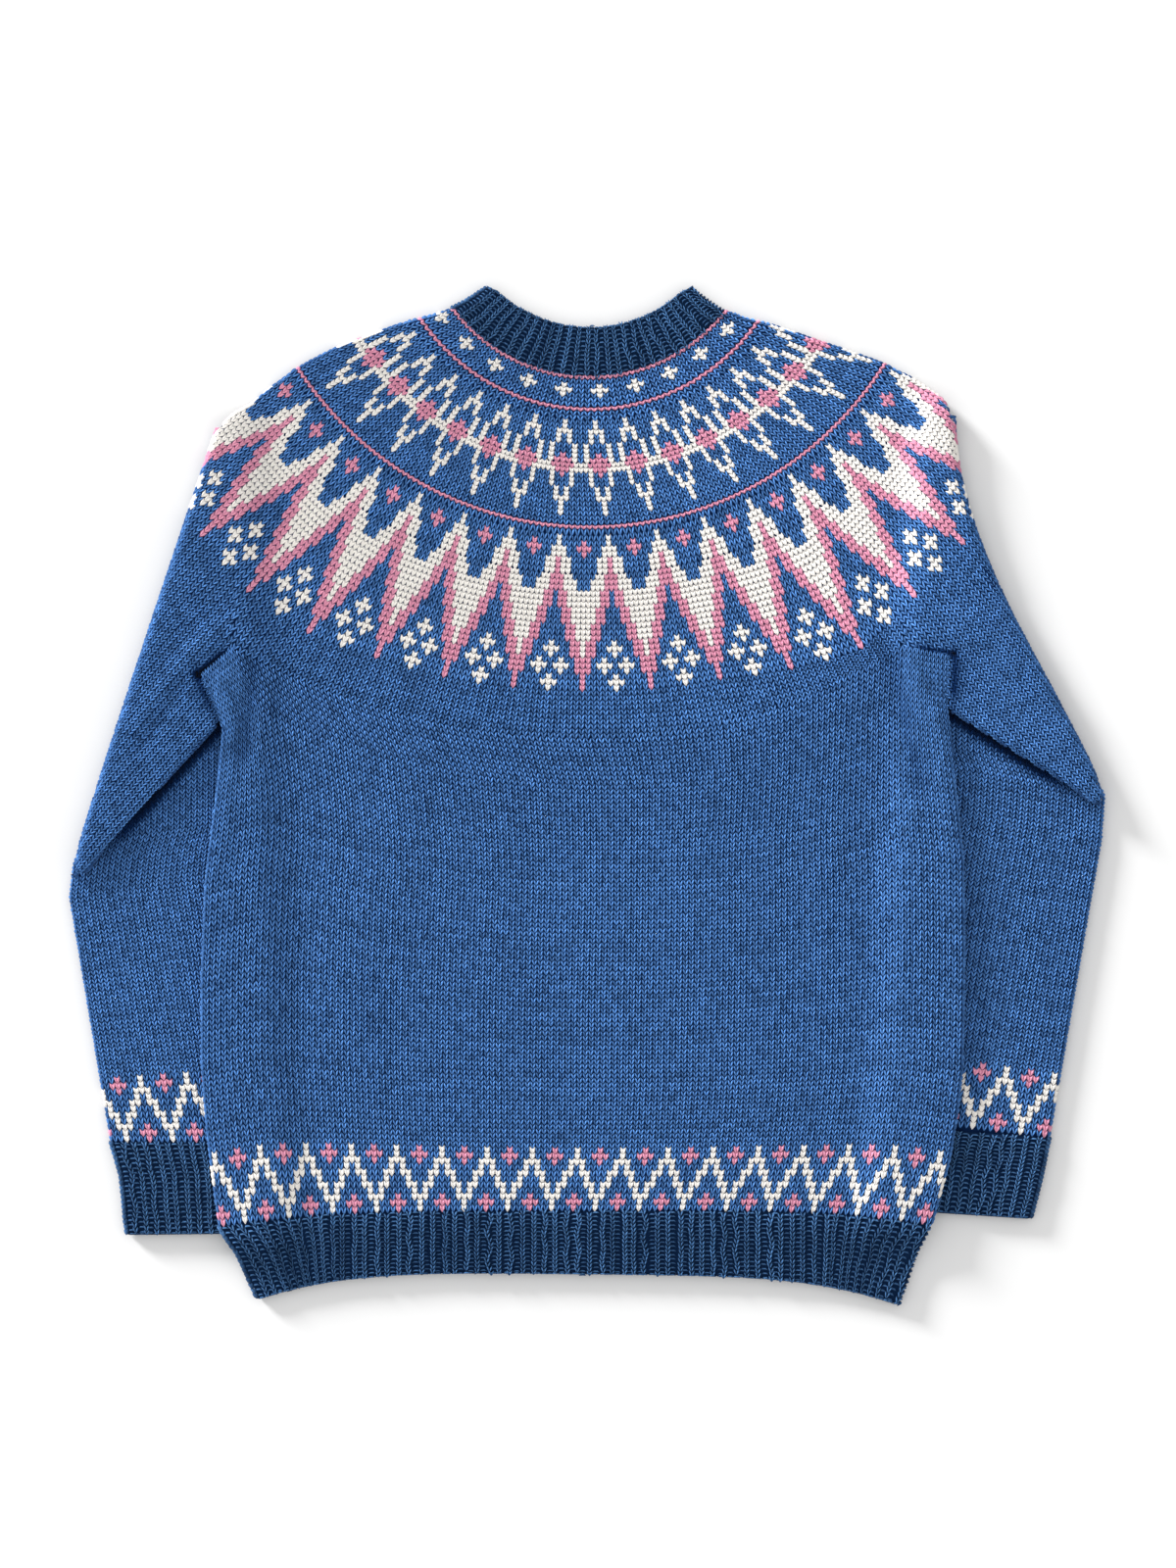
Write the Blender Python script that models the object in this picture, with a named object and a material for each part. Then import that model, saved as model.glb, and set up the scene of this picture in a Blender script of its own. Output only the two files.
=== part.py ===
"""A round-yoke sweater, knitted in the round and laid flat on its front.

Metres, +Z up, neck towards +Y. The garment is eight knitted tubes pressed flat: neckband,
yoke, body, hem rib, two sleeves and two cuffs. Each tube is one closed wall with a back
layer on top and a front layer under it. The sleeves are folded back at the elbow, so each
forearm lies on the floor, under its own upper arm and under the side of the body.
"""
import math

import bmesh
import bpy
from mathutils import Matrix, Vector

# ---------------------------------------------------------------- driving dimensions
WALL = 0.0026            # one layer of the knitted cloth
LAYER_AIR = 0.0012       # air between the two layers inside a flat tube
THICK = 2 * WALL + LAYER_AIR
EDGE = THICK / 2         # radius of a side fold
SEAM = 0.0003            # gap between neighbouring pieces
FOLD_RADIUS = EDGE + 0.0008          # elbow fold, to the middle of the tube
STACK = 2 * FOLD_RADIUS              # lift of all that lies on a forearm
DRAPE = 0.028            # run over which lifted cloth comes down to the floor
CLEARANCE = 0.002        # the lifted cloth starts down this far past the forearm's edge
RIB_HEIGHT = 0.0010      # knit ribs stand this far over the purl between them

NECK_RIBS = 27           # ribs on the back layer
HEM_RIBS = 64
CUFF_RIBS = 14

PLAIN_STEPS = 18         # facets across the plain underside of a ribbed band
CUFF_PLAIN_STEPS = 8
SHARP_ANGLE = 50.0       # edges sharper than this, in degrees, are shown sharp
EDGE_STEPS = 4           # facets round a side fold
ROLL_STEPS = 6           # facets round the elbow fold

# ---------------------------------------------------------------- yoke and neckband
CENTRE_X = 0.0003        # the rounds of the yoke are arcs about this line
# radius of a round, height of its centre, half angle that it spans on each side, laid flat
YOKE_ROUNDS = (
    # radius, centre_y, left_half, right_half
    (0.0927, 0.4090, 47.3, 47.4),      # top of the neckband
    (0.1167, 0.3990, 53.7, 52.6),      # neckband meets yoke
    (0.1280, 0.3980, 55.8, 55.0),
    (0.1530, 0.4010, 57.9, 57.0),
    (0.2000, 0.4100, 58.3, 57.9),
    (0.2360, 0.4170, 57.4, 58.2),
    (0.2600, 0.4170, 57.1, 58.6),
    (0.2760, 0.4170, 56.7, 58.4),      # yoke meets sleeve at the shoulder
)
SHOULDER_RADIUS = YOKE_ROUNDS[-1][0]
OUTER_CENTRE_Y = YOKE_ROUNDS[-1][1]
NECK_TOP, NECK_BASE = YOKE_ROUNDS[0][0], YOKE_ROUNDS[1][0]
NECK_RINGS = (0.0, 0.5, 1.0)
YOKE_RINGS = (0.0, 0.10, 0.22, 0.36, 0.50, 0.64, 0.78, 0.90, 1.0)
ARMHOLE_STEPS = 5
JOIN_DEPTH = 0.380       # radius at the middle of the back where the yoke ends

# where yoke, body and sleeve meet, and the corner of the tuck beside it
UNDERARM = {"left": (-0.2423, 0.0983), "right": (0.2123, 0.0997)}
TUCK = {"left": (-0.2643, 0.0797), "right": (0.2450, 0.0930)}

# ---------------------------------------------------------------- body and hem
# the left and the right edge of the body and its rib, from the tuck down to the hem
BODY_SIDES = (
    # left_y, left_x, right_y, right_x
    (0.0797, -0.2643, 0.0930, 0.2450),
    (0.0430, -0.2495, 0.0577, 0.2437),
    (0.0063, -0.2530, 0.0063, 0.2490),
    (-0.0603, -0.2610, -0.0463, 0.2543),
    (-0.1270, -0.2637, -0.1137, 0.2550),
    (-0.1837, -0.2637, -0.1863, 0.2537),
    (-0.2270, -0.2603, -0.2203, 0.2497),
    (-0.2603, -0.2563, -0.2483, 0.2450),
    (-0.2937, -0.2517, -0.2923, 0.2330),      # top of the rib
    (-0.3100, -0.2405, -0.3100, 0.2245),
    (-0.3430, -0.2263, -0.3470, 0.2117),      # hem
)
RIB_TOP_ROW, HEM_ROW = 8, 10
RIB_TOP_RISE = 0.0093    # the middle of the rib's top is this much higher than its ends
HEM_RISE = 0.0187
HEM_FACES = {"left": 190.0, "right": -10.0}      # the rib narrows towards the hem
HEM_RINGS = (0.0, 0.16, 0.50, 1.0)
BODY_RINGS = (0.0, 0.05, 0.10, 0.20, 0.34, 0.50, 0.66, 0.80, 0.91, 1.0)
# places across the back between the underarms, close together where the cloth climbs
BACK_FRACTIONS = (0.0, 0.035, 0.06, 0.085, 0.11, 0.15, 0.23, 0.34, 0.45, 0.55, 0.66, 0.77,
                  0.85, 0.895, 0.92, 0.945, 0.97, 1.0)

# ---------------------------------------------------------------- sleeves and cuffs
START_BREAKS = (0.0, 0.55, 0.75, 1.0)    # shoulder, underarm, tuck, underarm edge
BULGE_PEAK = 27 / 4      # makes the swell near the elbow fold reach 1
FOLD_BREAKS = (0.0, 0.12, 0.5, 1.0)      # places along the elbow fold of its four points
SLEEVE_FRACTIONS = (0.0, 0.12, 0.24, 0.35, 0.45, 0.55, 0.65, 0.75, 0.87, 1.0)
UPPER_RINGS = (0.0, 0.13, 0.30, 0.50, 0.70, 0.87, 1.0)
FOREARM_RINGS = (0.3, 0.6, 1.0)
# side folds run along the inner and the outer edge; an angle is the way an edge faces
SLEEVES = {
    "left": {
        "underarm_edge": (-0.2542, 0.0496),
        "shoulder_bulge": 0.0030,
        "fold": ((-0.2437, 0.2463), (-0.2588, 0.2110), (-0.2970, 0.0961), (-0.3430, -0.0470)),
        "below_fold": ((-0.2448, 0.2000), (-0.3505, -0.0700)),
        "cuff_top": ((-0.2229, -0.2363), (-0.3225, -0.2370)),
        "cuff_middle": ((-0.2212, -0.2560), (-0.3158, -0.2600)),
        "cuff_end": ((-0.2202, -0.2990), (-0.3118, -0.3000)),
        "shoulder_faces": 123.3, "fold_top_faces": 71.4, "inner_faces": 3.0,
        "underarm_faces": -48.0, "fold_end_faces": -78.0, "outer_faces": -189.0,
    },
    "right": {
        "underarm_edge": (0.2512, 0.0560),
        "shoulder_bulge": 0.0045,
        "fold": ((0.2405, 0.2543), (0.2445, 0.2230), (0.2793, 0.1230), (0.3436, -0.0030)),
        "below_fold": ((0.2418, 0.2000), (0.3452, -0.0300)),
        "cuff_top": ((0.2122, -0.2270), (0.3098, -0.2337)),
        "cuff_middle": ((0.2090, -0.2470), (0.3040, -0.2620)),
        "cuff_end": ((0.2055, -0.2830), (0.2971, -0.2890)),
        "shoulder_faces": 58.4, "fold_top_faces": 102.0, "inner_faces": 177.0,
        "underarm_faces": 241.0, "fold_end_faces": 268.0, "outer_faces": 370.0,
    },
}

BLUE_WOOL = (0.045, 0.125, 0.300, 1.0)
RIB_WOOL = (0.030, 0.085, 0.215, 1.0)


# ---------------------------------------------------------------- small tools
def mix(a, b, amount):
    return a + (b - a) * amount


def smooth(amount):
    amount = min(1.0, max(0.0, amount))
    return amount * amount * (3 - 2 * amount)


def read_table(rows, key_column, key, value_column):
    """Read one column of a table at a key between its rows, in straight steps."""
    rows = sorted(rows, key=lambda row: row[key_column])
    key = min(rows[-1][key_column], max(rows[0][key_column], key))
    for low, high in zip(rows, rows[1:]):
        if key <= high[key_column]:
            amount = (key - low[key_column]) / (high[key_column] - low[key_column])
            return mix(low[value_column], high[value_column], amount)
    return rows[-1][value_column]


def on_polyline(points, breaks, amount):
    """The point of a polyline whose corners lie at the given breaks."""
    for i in range(len(points) - 1):
        if amount <= breaks[i + 1] or i == len(points) - 2:
            local = (amount - breaks[i]) / (breaks[i + 1] - breaks[i])
            return Vector((mix(points[i][0], points[i + 1][0], local),
                           mix(points[i][1], points[i + 1][1], local)))


def on_curve(points, breaks, amount):
    """The smooth curve that meets each point at its break."""
    place = Vector((0.0, 0.0))
    for point, own in zip(points, breaks):
        weight = 1.0
        for other in breaks:
            if other != own:
                weight *= (amount - other) / (own - other)
        place += Vector(point) * weight
    return place


def facing(angle):
    return Vector((math.cos(math.radians(angle)), math.sin(math.radians(angle)), 0))


# ---------------------------------------------------------------- what the cloth lies on
def forearm_inner_x(side, y):
    """The inner edge of the forearm, which lies hidden under the body."""
    sleeve = SLEEVES[side]
    outward = 1 if side == "left" else -1
    top, cuff, end = sleeve["fold"][0], sleeve["cuff_top"][0], sleeve["cuff_end"][0]
    rows = ((end[1], end[0]), (cuff[1], cuff[0]), (top[1], top[0]))
    return read_table(rows, 0, y, 1) + outward * EDGE


def floor_under(x, y):
    """Height of the underside of yoke, body and upper arms: raised over the forearms."""
    height = 0.0
    for side, inward in (("left", 1), ("right", -1)):
        top = SLEEVES[side]["fold"][0][1]
        end = min(point[1] for point in SLEEVES[side]["cuff_end"])
        across = max(0.0, inward * (x - forearm_inner_x(side, y)) - CLEARANCE)
        along = max(0.0, y - top, end - CLEARANCE - y)
        reach = math.hypot(across, along)
        height = max(height, STACK * (1 - smooth(reach / DRAPE)))
    return height


# ---------------------------------------------------------------- plan of the pieces
def half_angle(radius, side):
    """Angle from the middle of the back to the side of a round."""
    column = 2 if side == "left" else 3
    return math.radians(read_table(YOKE_ROUNDS, 0, radius, column))


def yoke_point(radius, share):
    """A point of a round; share runs from -1 at the left side fold to 1 at the right."""
    centre_y = read_table(YOKE_ROUNDS, 0, radius, 1)
    angle = share * (half_angle(radius, "left" if share < 0 else "right") - EDGE / radius)
    return Vector((CENTRE_X + radius * math.sin(angle), centre_y - radius * math.cos(angle)))


def shoulder(side):
    """Where the yoke's side fold becomes the sleeve's."""
    return yoke_point(SHOULDER_RADIUS, -1 if side == "left" else 1)


def outer_polar(point):
    """Angle and radius of a point about the centre of the outer rounds."""
    across = point[0] - CENTRE_X
    down = OUTER_CENTRE_Y - point[1]
    return math.atan2(across, down), math.hypot(across, down)


def join_point(fraction, push=0.0):
    """The line where yoke and body meet, from the left underarm to the right one."""
    left_angle, left_radius = outer_polar(UNDERARM["left"])
    right_angle, right_radius = outer_polar(UNDERARM["right"])
    angle = mix(left_angle, right_angle, fraction)
    end_angle, end_radius = ((left_angle, left_radius) if angle < 0
                             else (right_angle, right_radius))
    radius = mix(JOIN_DEPTH, end_radius, (angle / end_angle) ** 2) + push
    return Vector((CENTRE_X + radius * math.sin(angle),
                   OUTER_CENTRE_Y - radius * math.cos(angle)))


def yoke_outline():
    """The yoke's outer edge: down the left armhole, across the back, up the right one."""
    points = []
    for i in range(ARMHOLE_STEPS):
        points.append(shoulder("left").lerp(Vector(UNDERARM["left"]), i / ARMHOLE_STEPS))
    points += [join_point(fraction) for fraction in BACK_FRACTIONS]
    for i in range(1, ARMHOLE_STEPS + 1):
        points.append(Vector(UNDERARM["right"]).lerp(shoulder("right"), i / ARMHOLE_STEPS))
    return points


def rib_rise(fraction, rise):
    """How far the rib's edge curves up towards the middle of the back."""
    return rise * (1 - abs(2 * fraction - 1) ** 4)


def body_row(down):
    """One round of the body; down runs from 0 at the yoke to 1 at the top of the rib."""
    top, bottom = BODY_SIDES[0], BODY_SIDES[RIB_TOP_ROW]
    left_y, right_y = mix(top[0], bottom[0], down), mix(top[2], bottom[2], down)
    left_x = read_table(BODY_SIDES, 0, left_y, 1) + EDGE
    right_x = read_table(BODY_SIDES, 2, right_y, 3) - EDGE
    first = [Vector((TUCK["left"][0] + EDGE, TUCK["left"][1] - SEAM))]
    first += [join_point(fraction, SEAM) for fraction in BACK_FRACTIONS]
    first += [Vector((TUCK["right"][0] - EDGE, TUCK["right"][1] - SEAM))]
    wide = first[-1].x - first[0].x
    row = []
    for point in first:
        fraction = (point.x - first[0].x) / wide
        chord_top = mix(first[0].y, first[-1].y, fraction)
        x = mix(left_x, right_x, fraction)
        sag = mix(point.y - chord_top, rib_rise(fraction, RIB_TOP_RISE), down)
        row.append(Vector((x, mix(left_y, right_y, fraction) + sag)))
    if down == 0.0:
        return first
    return row


def hem_row(down, count):
    """One round of the hem rib; down runs from 0 at its top to 1 at the hem."""
    top, bottom = BODY_SIDES[RIB_TOP_ROW], BODY_SIDES[HEM_ROW]
    left_y, right_y = mix(top[0], bottom[0], down), mix(top[2], bottom[2], down)
    left_x = read_table(BODY_SIDES, 0, left_y, 1) + EDGE
    right_x = read_table(BODY_SIDES, 2, right_y, 3) - EDGE
    row = []
    for i in range(count + 1):
        fraction = i / count
        lift = mix(rib_rise(fraction, RIB_TOP_RISE), rib_rise(fraction, HEM_RISE), down)
        gap = SEAM if down == 0.0 else 0.0
        row.append(Vector((mix(left_x, right_x, fraction),
                           mix(left_y, right_y, fraction) + lift - gap)))
    return row


# ---------------------------------------------------------------- sections of a flat tube
def section(top_row, under_row, start_faces, end_faces, ribs=False):
    """One ring of a tube on the floor or on what is under it.

    A ring is a list of middle points, each with the way to the top layer, and the way
    that each side fold faces. Ribs raise every other point of the top layer.
    """
    def lift(row):
        return [Vector((p.x, p.y, floor_under(p.x, p.y) + EDGE)) for p in row]
    up = Vector((0, 0, 1))
    return {"top": lift(top_row), "under": lift(under_row), "up": [up] * len(top_row),
            "under_up": [up] * len(under_row), "start": start_faces, "end": end_faces,
            "ribs": ribs}


def loop_of(ring, radius, raised):
    """The closed loop of a ring at a distance from the middle of the tube."""
    loop = []
    last = len(ring["top"]) - 1
    for i, (point, up) in enumerate(zip(ring["top"], ring["up"])):
        rib = RIB_HEIGHT if raised and ring["ribs"] and i % 2 and 0 < i < last else 0.0
        loop.append(point + up * (radius + rib))
    for end, faces in ((-1, ring["end"]), (0, ring["start"])):
        middle, up = ring["top"][end], ring["up"][end]
        for step in range(1, EDGE_STEPS):
            turn = math.pi * step / EDGE_STEPS
            if end == 0:
                turn = math.pi - turn
            loop.append(middle + faces * (radius * math.sin(turn))
                        + up * (radius * math.cos(turn)))
        if end == -1:
            layer = list(zip(ring["under"], ring["under_up"]))
            loop += [point - up * radius for point, up in reversed(layer)]
    return loop


def knit_tube(name, rings, collection, colour):
    """Loft a closed wall through the rings of one flat tube."""
    mesh = bmesh.new()
    walls = []
    for radius, raised in ((EDGE, True), (EDGE - WALL, False)):
        walls.append([[mesh.verts.new(point) for point in loop_of(ring, radius, raised)]
                      for ring in rings])
    outer, inner = walls
    count = len(outer[0])
    for wall in walls:
        for here, there in zip(wall, wall[1:]):
            for i in range(count):
                j = (i + 1) % count
                mesh.faces.new((here[i], here[j], there[j], there[i]))
    for end in (0, -1):
        for i in range(count):
            j = (i + 1) % count
            mesh.faces.new((outer[end][i], outer[end][j], inner[end][j], inner[end][i]))
    bmesh.ops.recalc_face_normals(mesh, faces=mesh.faces)
    data = bpy.data.meshes.new(name)
    mesh.to_mesh(data)
    mesh.free()
    data.shade_smooth()
    data.set_sharp_from_angle(angle=math.radians(SHARP_ANGLE))
    data.materials.append(wool(name, colour))
    piece = bpy.data.objects.new(name, data)
    collection.objects.link(piece)
    return piece


def wool(name, colour):
    material = bpy.data.materials.new(name + "_wool")
    material.use_nodes = True
    shader = material.node_tree.nodes["Principled BSDF"]
    shader.inputs["Base Color"].default_value = colour
    shader.inputs["Roughness"].default_value = 0.92
    shader.inputs["Metallic"].default_value = 0.0
    return material


def round_faces(radius):
    """The ways that the left and right side folds of a round face."""
    left, right = half_angle(radius, "left"), half_angle(radius, "right")
    return (Vector((-math.cos(left), math.sin(left), 0)),
            Vector((math.cos(right), math.sin(right), 0)))


# ---------------------------------------------------------------- the pieces
def neckband(collection):
    rings = []
    for amount in NECK_RINGS:
        radius = mix(NECK_TOP, NECK_BASE - SEAM, amount)
        top = [yoke_point(radius, mix(-1, 1, i / (2 * NECK_RIBS)))
               for i in range(2 * NECK_RIBS + 1)]
        under = [yoke_point(radius, mix(-1, 1, i / PLAIN_STEPS))
                 for i in range(PLAIN_STEPS + 1)]
        rings.append(section(top, under, *round_faces(radius), ribs=True))
    return knit_tube("neckband", rings, collection, RIB_WOOL)


def yoke(collection):
    outline = yoke_outline()
    left_end = outer_polar(outline[0])[0]
    right_end = outer_polar(outline[-1])[0]
    rings = []
    for amount in YOKE_RINGS:
        row = []
        for point in outline:
            angle, radius = outer_polar(point)
            share = angle / abs(left_end) if angle < 0 else angle / right_end
            reach = mix(NECK_BASE, radius - SEAM, amount)
            row.append(yoke_point(reach, share) if amount < 1.0
                       else point + point_inward(point) * SEAM)
        radius = mix(NECK_BASE, outer_polar(outline[0])[1], amount)
        rings.append(section(row, row, *round_faces(min(radius, SHOULDER_RADIUS))))
    return knit_tube("yoke", rings, collection, BLUE_WOOL)


def point_inward(point):
    """The way from a point of the yoke's outline to the neck."""
    return (Vector((CENTRE_X, OUTER_CENTRE_Y)) - point).normalized()


def body(collection):
    left, right = facing(180), facing(0)
    rings = []
    for down in BODY_RINGS:
        row = body_row(down)
        rings.append(section(row, row, left, right))
    return knit_tube("body", rings, collection, BLUE_WOOL)


def hem_rib(collection):
    rings = []
    for down in HEM_RINGS:
        rings.append(section(hem_row(down, 2 * HEM_RIBS), hem_row(down, PLAIN_STEPS),
                             facing(HEM_FACES["left"]), facing(HEM_FACES["right"]),
                             ribs=True))
    return knit_tube("hem_rib", rings, collection, RIB_WOOL)


def upper_arm_rings(side):
    """Rings that fan out from the armhole to the elbow fold."""
    sleeve = SLEEVES[side]
    outward = -1 if side == "left" else 1
    corners = (shoulder(side), UNDERARM[side], TUCK[side], sleeve["underarm_edge"])
    bulge = facing(sleeve["shoulder_faces"]).to_2d() * sleeve["shoulder_bulge"]
    rings = []
    for amount in UPPER_RINGS:
        row = []
        for fraction in SLEEVE_FRACTIONS:
            start = on_polyline(corners, START_BREAKS, fraction)
            start.x += outward * 2 * SEAM
            fold = on_curve(sleeve["fold"], FOLD_BREAKS, fraction)
            share = max(0.0, 1 - fraction / START_BREAKS[1])
            swell = BULGE_PEAK * amount ** 2 * (1 - amount) * share
            row.append(start.lerp(fold, amount) + bulge * swell)
        rings.append(section(
            row, row,
            facing(mix(sleeve["shoulder_faces"], sleeve["fold_top_faces"], amount)),
            facing(mix(sleeve["underarm_faces"], sleeve["fold_end_faces"], amount))))
    return rings


def fold_frame(side, fraction):
    """Place on the elbow fold, the way out of it and the way along it."""
    fold = SLEEVES[side]["fold"]
    step = 0.01
    before = on_curve(fold, FOLD_BREAKS, fraction - step)
    after = on_curve(fold, FOLD_BREAKS, fraction + step)
    along = (after - before).normalized()
    out = Vector((along.y, -along.x)) if side == "left" else Vector((-along.y, along.x))
    return on_curve(fold, FOLD_BREAKS, fraction), out.to_3d(), along.to_3d()


def rolled_faces(side, fraction, faces, turn):
    """The way that a side fold faces after part of the turn round the elbow fold."""
    _, out, along = fold_frame(side, fraction)
    turned_out = out * math.cos(turn) - Vector((0, 0, 1)) * math.sin(turn)
    return along * faces.dot(along) + turned_out * faces.dot(out)


def elbow_rings(side):
    """Rings that turn the tube over the elbow fold, from upper arm to forearm."""
    sleeve = SLEEVES[side]
    rings = []
    for step in range(1, ROLL_STEPS + 1):
        turn = math.pi * step / ROLL_STEPS
        middles, ups = [], []
        for fraction in SLEEVE_FRACTIONS:
            place, out, _ = fold_frame(side, fraction)
            up = out * math.sin(turn) + Vector((0, 0, 1)) * math.cos(turn)
            middles.append(place.to_3d() + Vector((0, 0, EDGE + FOLD_RADIUS))
                           + up * FOLD_RADIUS)
            ups.append(up)
        rings.append({"top": middles, "under": middles, "up": ups, "under_up": ups, "ribs": False,
                      "start": rolled_faces(side, 0.0, facing(sleeve["fold_top_faces"]), turn),
                      "end": rolled_faces(side, 1.0, facing(sleeve["fold_end_faces"]), turn)})
    return rings


def forearm_ring(inner, outer, inner_faces, outer_faces):
    """A straight ring of the forearm, which lies on the floor with its outside turned down."""
    middles = [Vector(inner).lerp(Vector(outer), fraction).to_3d() + Vector((0, 0, EDGE))
               for fraction in SLEEVE_FRACTIONS]
    ups = [Vector((0, 0, -1))] * len(middles)
    return {"top": middles, "under": middles, "up": ups, "under_up": ups, "ribs": False,
            "start": inner_faces, "end": outer_faces}


def sleeve(side, collection):
    shape = SLEEVES[side]
    rings = upper_arm_rings(side) + elbow_rings(side)
    inner_faces, outer_faces = facing(shape["inner_faces"]), facing(shape["outer_faces"])
    inner_top, outer_top = (Vector(point) for point in shape["below_fold"])
    inner_end, outer_end = (Vector(point) for point in shape["cuff_top"])
    first_inner = (rings[-1]["start"] + inner_faces).normalized()
    first_outer = (rings[-1]["end"] + outer_faces).normalized()
    rings.append(forearm_ring(inner_top, outer_top, first_inner, first_outer))
    for amount in FOREARM_RINGS:
        rings.append(forearm_ring(inner_top.lerp(inner_end, amount),
                                  outer_top.lerp(outer_end, amount), inner_faces, outer_faces))
    return knit_tube("sleeve_" + side, rings, collection, BLUE_WOOL)


def cuff(side, collection):
    shape = SLEEVES[side]
    inner_faces, outer_faces = facing(shape["inner_faces"]), facing(shape["outer_faces"])
    rings = []
    for key in ("cuff_top", "cuff_middle", "cuff_end"):
        inner, outer = (Vector(point) for point in shape[key])
        if key == "cuff_top":
            inner.y -= SEAM
            outer.y -= SEAM
        rows = []
        for count in (2 * CUFF_RIBS, CUFF_PLAIN_STEPS):
            rows.append([inner.lerp(outer, i / count) for i in range(count + 1)])
        ring = section(*rows, inner_faces, outer_faces, ribs=True)
        for part in ("top", "under"):
            ring[part] = [Vector((p.x, p.y, EDGE)) for p in ring[part]]
        rings.append(ring)
    return knit_tube("cuff_" + side, rings, collection, RIB_WOOL)


def centre_on_origin(pieces):
    """Move the pieces so that the middle of their box is over the origin, on the floor."""
    corners = [vertex.co for piece in pieces for vertex in piece.data.vertices]
    low = [min(corner[axis] for corner in corners) for axis in range(3)]
    high = [max(corner[axis] for corner in corners) for axis in range(3)]
    shift = Vector((-(low[0] + high[0]) / 2, -(low[1] + high[1]) / 2, -low[2]))
    for piece in pieces:
        piece.data.transform(Matrix.Translation(shift))


def build():
    for thing in list(bpy.data.objects):
        bpy.data.objects.remove(thing)
    collection = bpy.data.collections.new("norwegian_sweater")
    bpy.context.scene.collection.children.link(collection)
    pieces = [neckband(collection), yoke(collection), body(collection), hem_rib(collection)]
    for side in ("left", "right"):
        pieces.append(sleeve(side, collection))
        pieces.append(cuff(side, collection))
    centre_on_origin(pieces)


build()
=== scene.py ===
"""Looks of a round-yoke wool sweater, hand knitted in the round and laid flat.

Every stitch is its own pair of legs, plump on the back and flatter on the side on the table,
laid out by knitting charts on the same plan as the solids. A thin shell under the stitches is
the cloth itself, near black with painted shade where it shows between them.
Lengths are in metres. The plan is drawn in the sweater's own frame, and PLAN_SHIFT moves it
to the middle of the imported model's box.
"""
import math

import bmesh
import bpy
import numpy as np
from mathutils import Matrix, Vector


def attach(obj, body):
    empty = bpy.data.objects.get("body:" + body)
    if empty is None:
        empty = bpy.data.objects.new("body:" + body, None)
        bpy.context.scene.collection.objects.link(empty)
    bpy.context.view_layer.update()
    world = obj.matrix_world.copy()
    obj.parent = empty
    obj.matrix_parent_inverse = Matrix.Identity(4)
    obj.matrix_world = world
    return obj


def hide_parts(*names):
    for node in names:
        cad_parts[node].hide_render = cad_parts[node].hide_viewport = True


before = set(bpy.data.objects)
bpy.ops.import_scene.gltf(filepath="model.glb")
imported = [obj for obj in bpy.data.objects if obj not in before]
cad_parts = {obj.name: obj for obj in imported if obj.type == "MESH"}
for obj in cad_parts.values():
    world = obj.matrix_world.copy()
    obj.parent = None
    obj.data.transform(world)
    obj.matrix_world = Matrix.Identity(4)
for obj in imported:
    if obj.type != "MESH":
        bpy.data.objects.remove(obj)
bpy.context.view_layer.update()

# ---------------------------------------------------------------- cloth
PLAN_SHIFT = np.array([0.00176, 0.00063])
WALL = 0.0026                      # one layer of the knitted cloth
LAYER_AIR = 0.0012                 # air between the two layers inside a flat tube
EDGE = (2 * WALL + LAYER_AIR) / 2  # radius of a side fold
SINK = 0.0011                      # the stitches' feet lie this far inside the solid's face
SHELL_SINK = 0.0003                # and the shell lies this far under their feet
SEAM = 0.00004                     # gap between neighbouring pieces
FOLD_RADIUS = EDGE + 0.0008        # elbow fold, to the middle of the tube
STACK = 2 * FOLD_RADIUS            # lift of all that lies on a forearm
DRAPE = 0.028                      # run over which lifted cloth comes down to the table
CLEARANCE = 0.002                  # the lifted cloth stays up this far past the forearm
PRESSED = -0.0002                  # the table presses the lowest stitches to this height
FOLD_STEP = 0.0012                 # spacing of the points along a fold's line
FOLD_NEAR = 0.03                   # a fold turns only the cloth within this distance of it
FOLD_REACH = 1.7                   # radii past a fold's line at which stitches end
ELBOW_ROUNDING = 3                 # steps of a fold's line that its corner is rounded over
ELBOW_TURN = 0.06                  # share of that line in which the fold's radius changes
PART = 20000                       # points that are worked out at a time
INWARD = {"left": 1, "right": -1}          # way along x from a side to the middle
HALF_COLUMN = {"left": 2, "right": 3}      # column of YOKE_ROUNDS for a side
SIDE_COLUMN = {"left": 0, "right": 2}      # column of BODY_SIDES for a side's y; x follows it

# ---------------------------------------------------------------- plan of the yoke
CENTRE_X = 0.0003
# the rounds of neckband and yoke, and the angles in degrees out to their side folds
YOKE_ROUNDS = np.array((
    # radius, centre_y, left_half, right_half
    (0.0927, 0.4090, 47.3, 47.4),
    (0.1167, 0.3990, 53.7, 52.6),
    (0.1280, 0.3980, 55.8, 55.0),
    (0.1530, 0.4010, 57.9, 57.0),
    (0.2000, 0.4100, 58.3, 57.9),
    (0.2360, 0.4170, 57.4, 58.2),
    (0.2600, 0.4170, 57.1, 58.6),
    (0.2760, 0.4170, 56.7, 58.4),
))
NECK_TOP, NECK_BASE, SHOULDER_RADIUS = 0.0927, 0.1167, 0.2760
OUTER_CENTRE_Y = 0.4170
JOIN_DEPTH = 0.380       # radius of the join of yoke and body, at the middle of the back
# how the repeats of the pattern lie on a round: where repeat 0 is, and the angle of one
REPEAT_ANGLES = np.array((
    # radius, first_angle, angle_of_one
    (0.0927, -2.6, 7.35),
    (0.1167, -2.6, 7.48),
    (0.1280, -2.6, 7.56),
    (0.1450, -2.6, 7.84),
    (0.2290, -1.1, 7.82),
    (0.2500, -0.9, 7.76),
    (0.4000, -0.8, 7.75),
))
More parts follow.
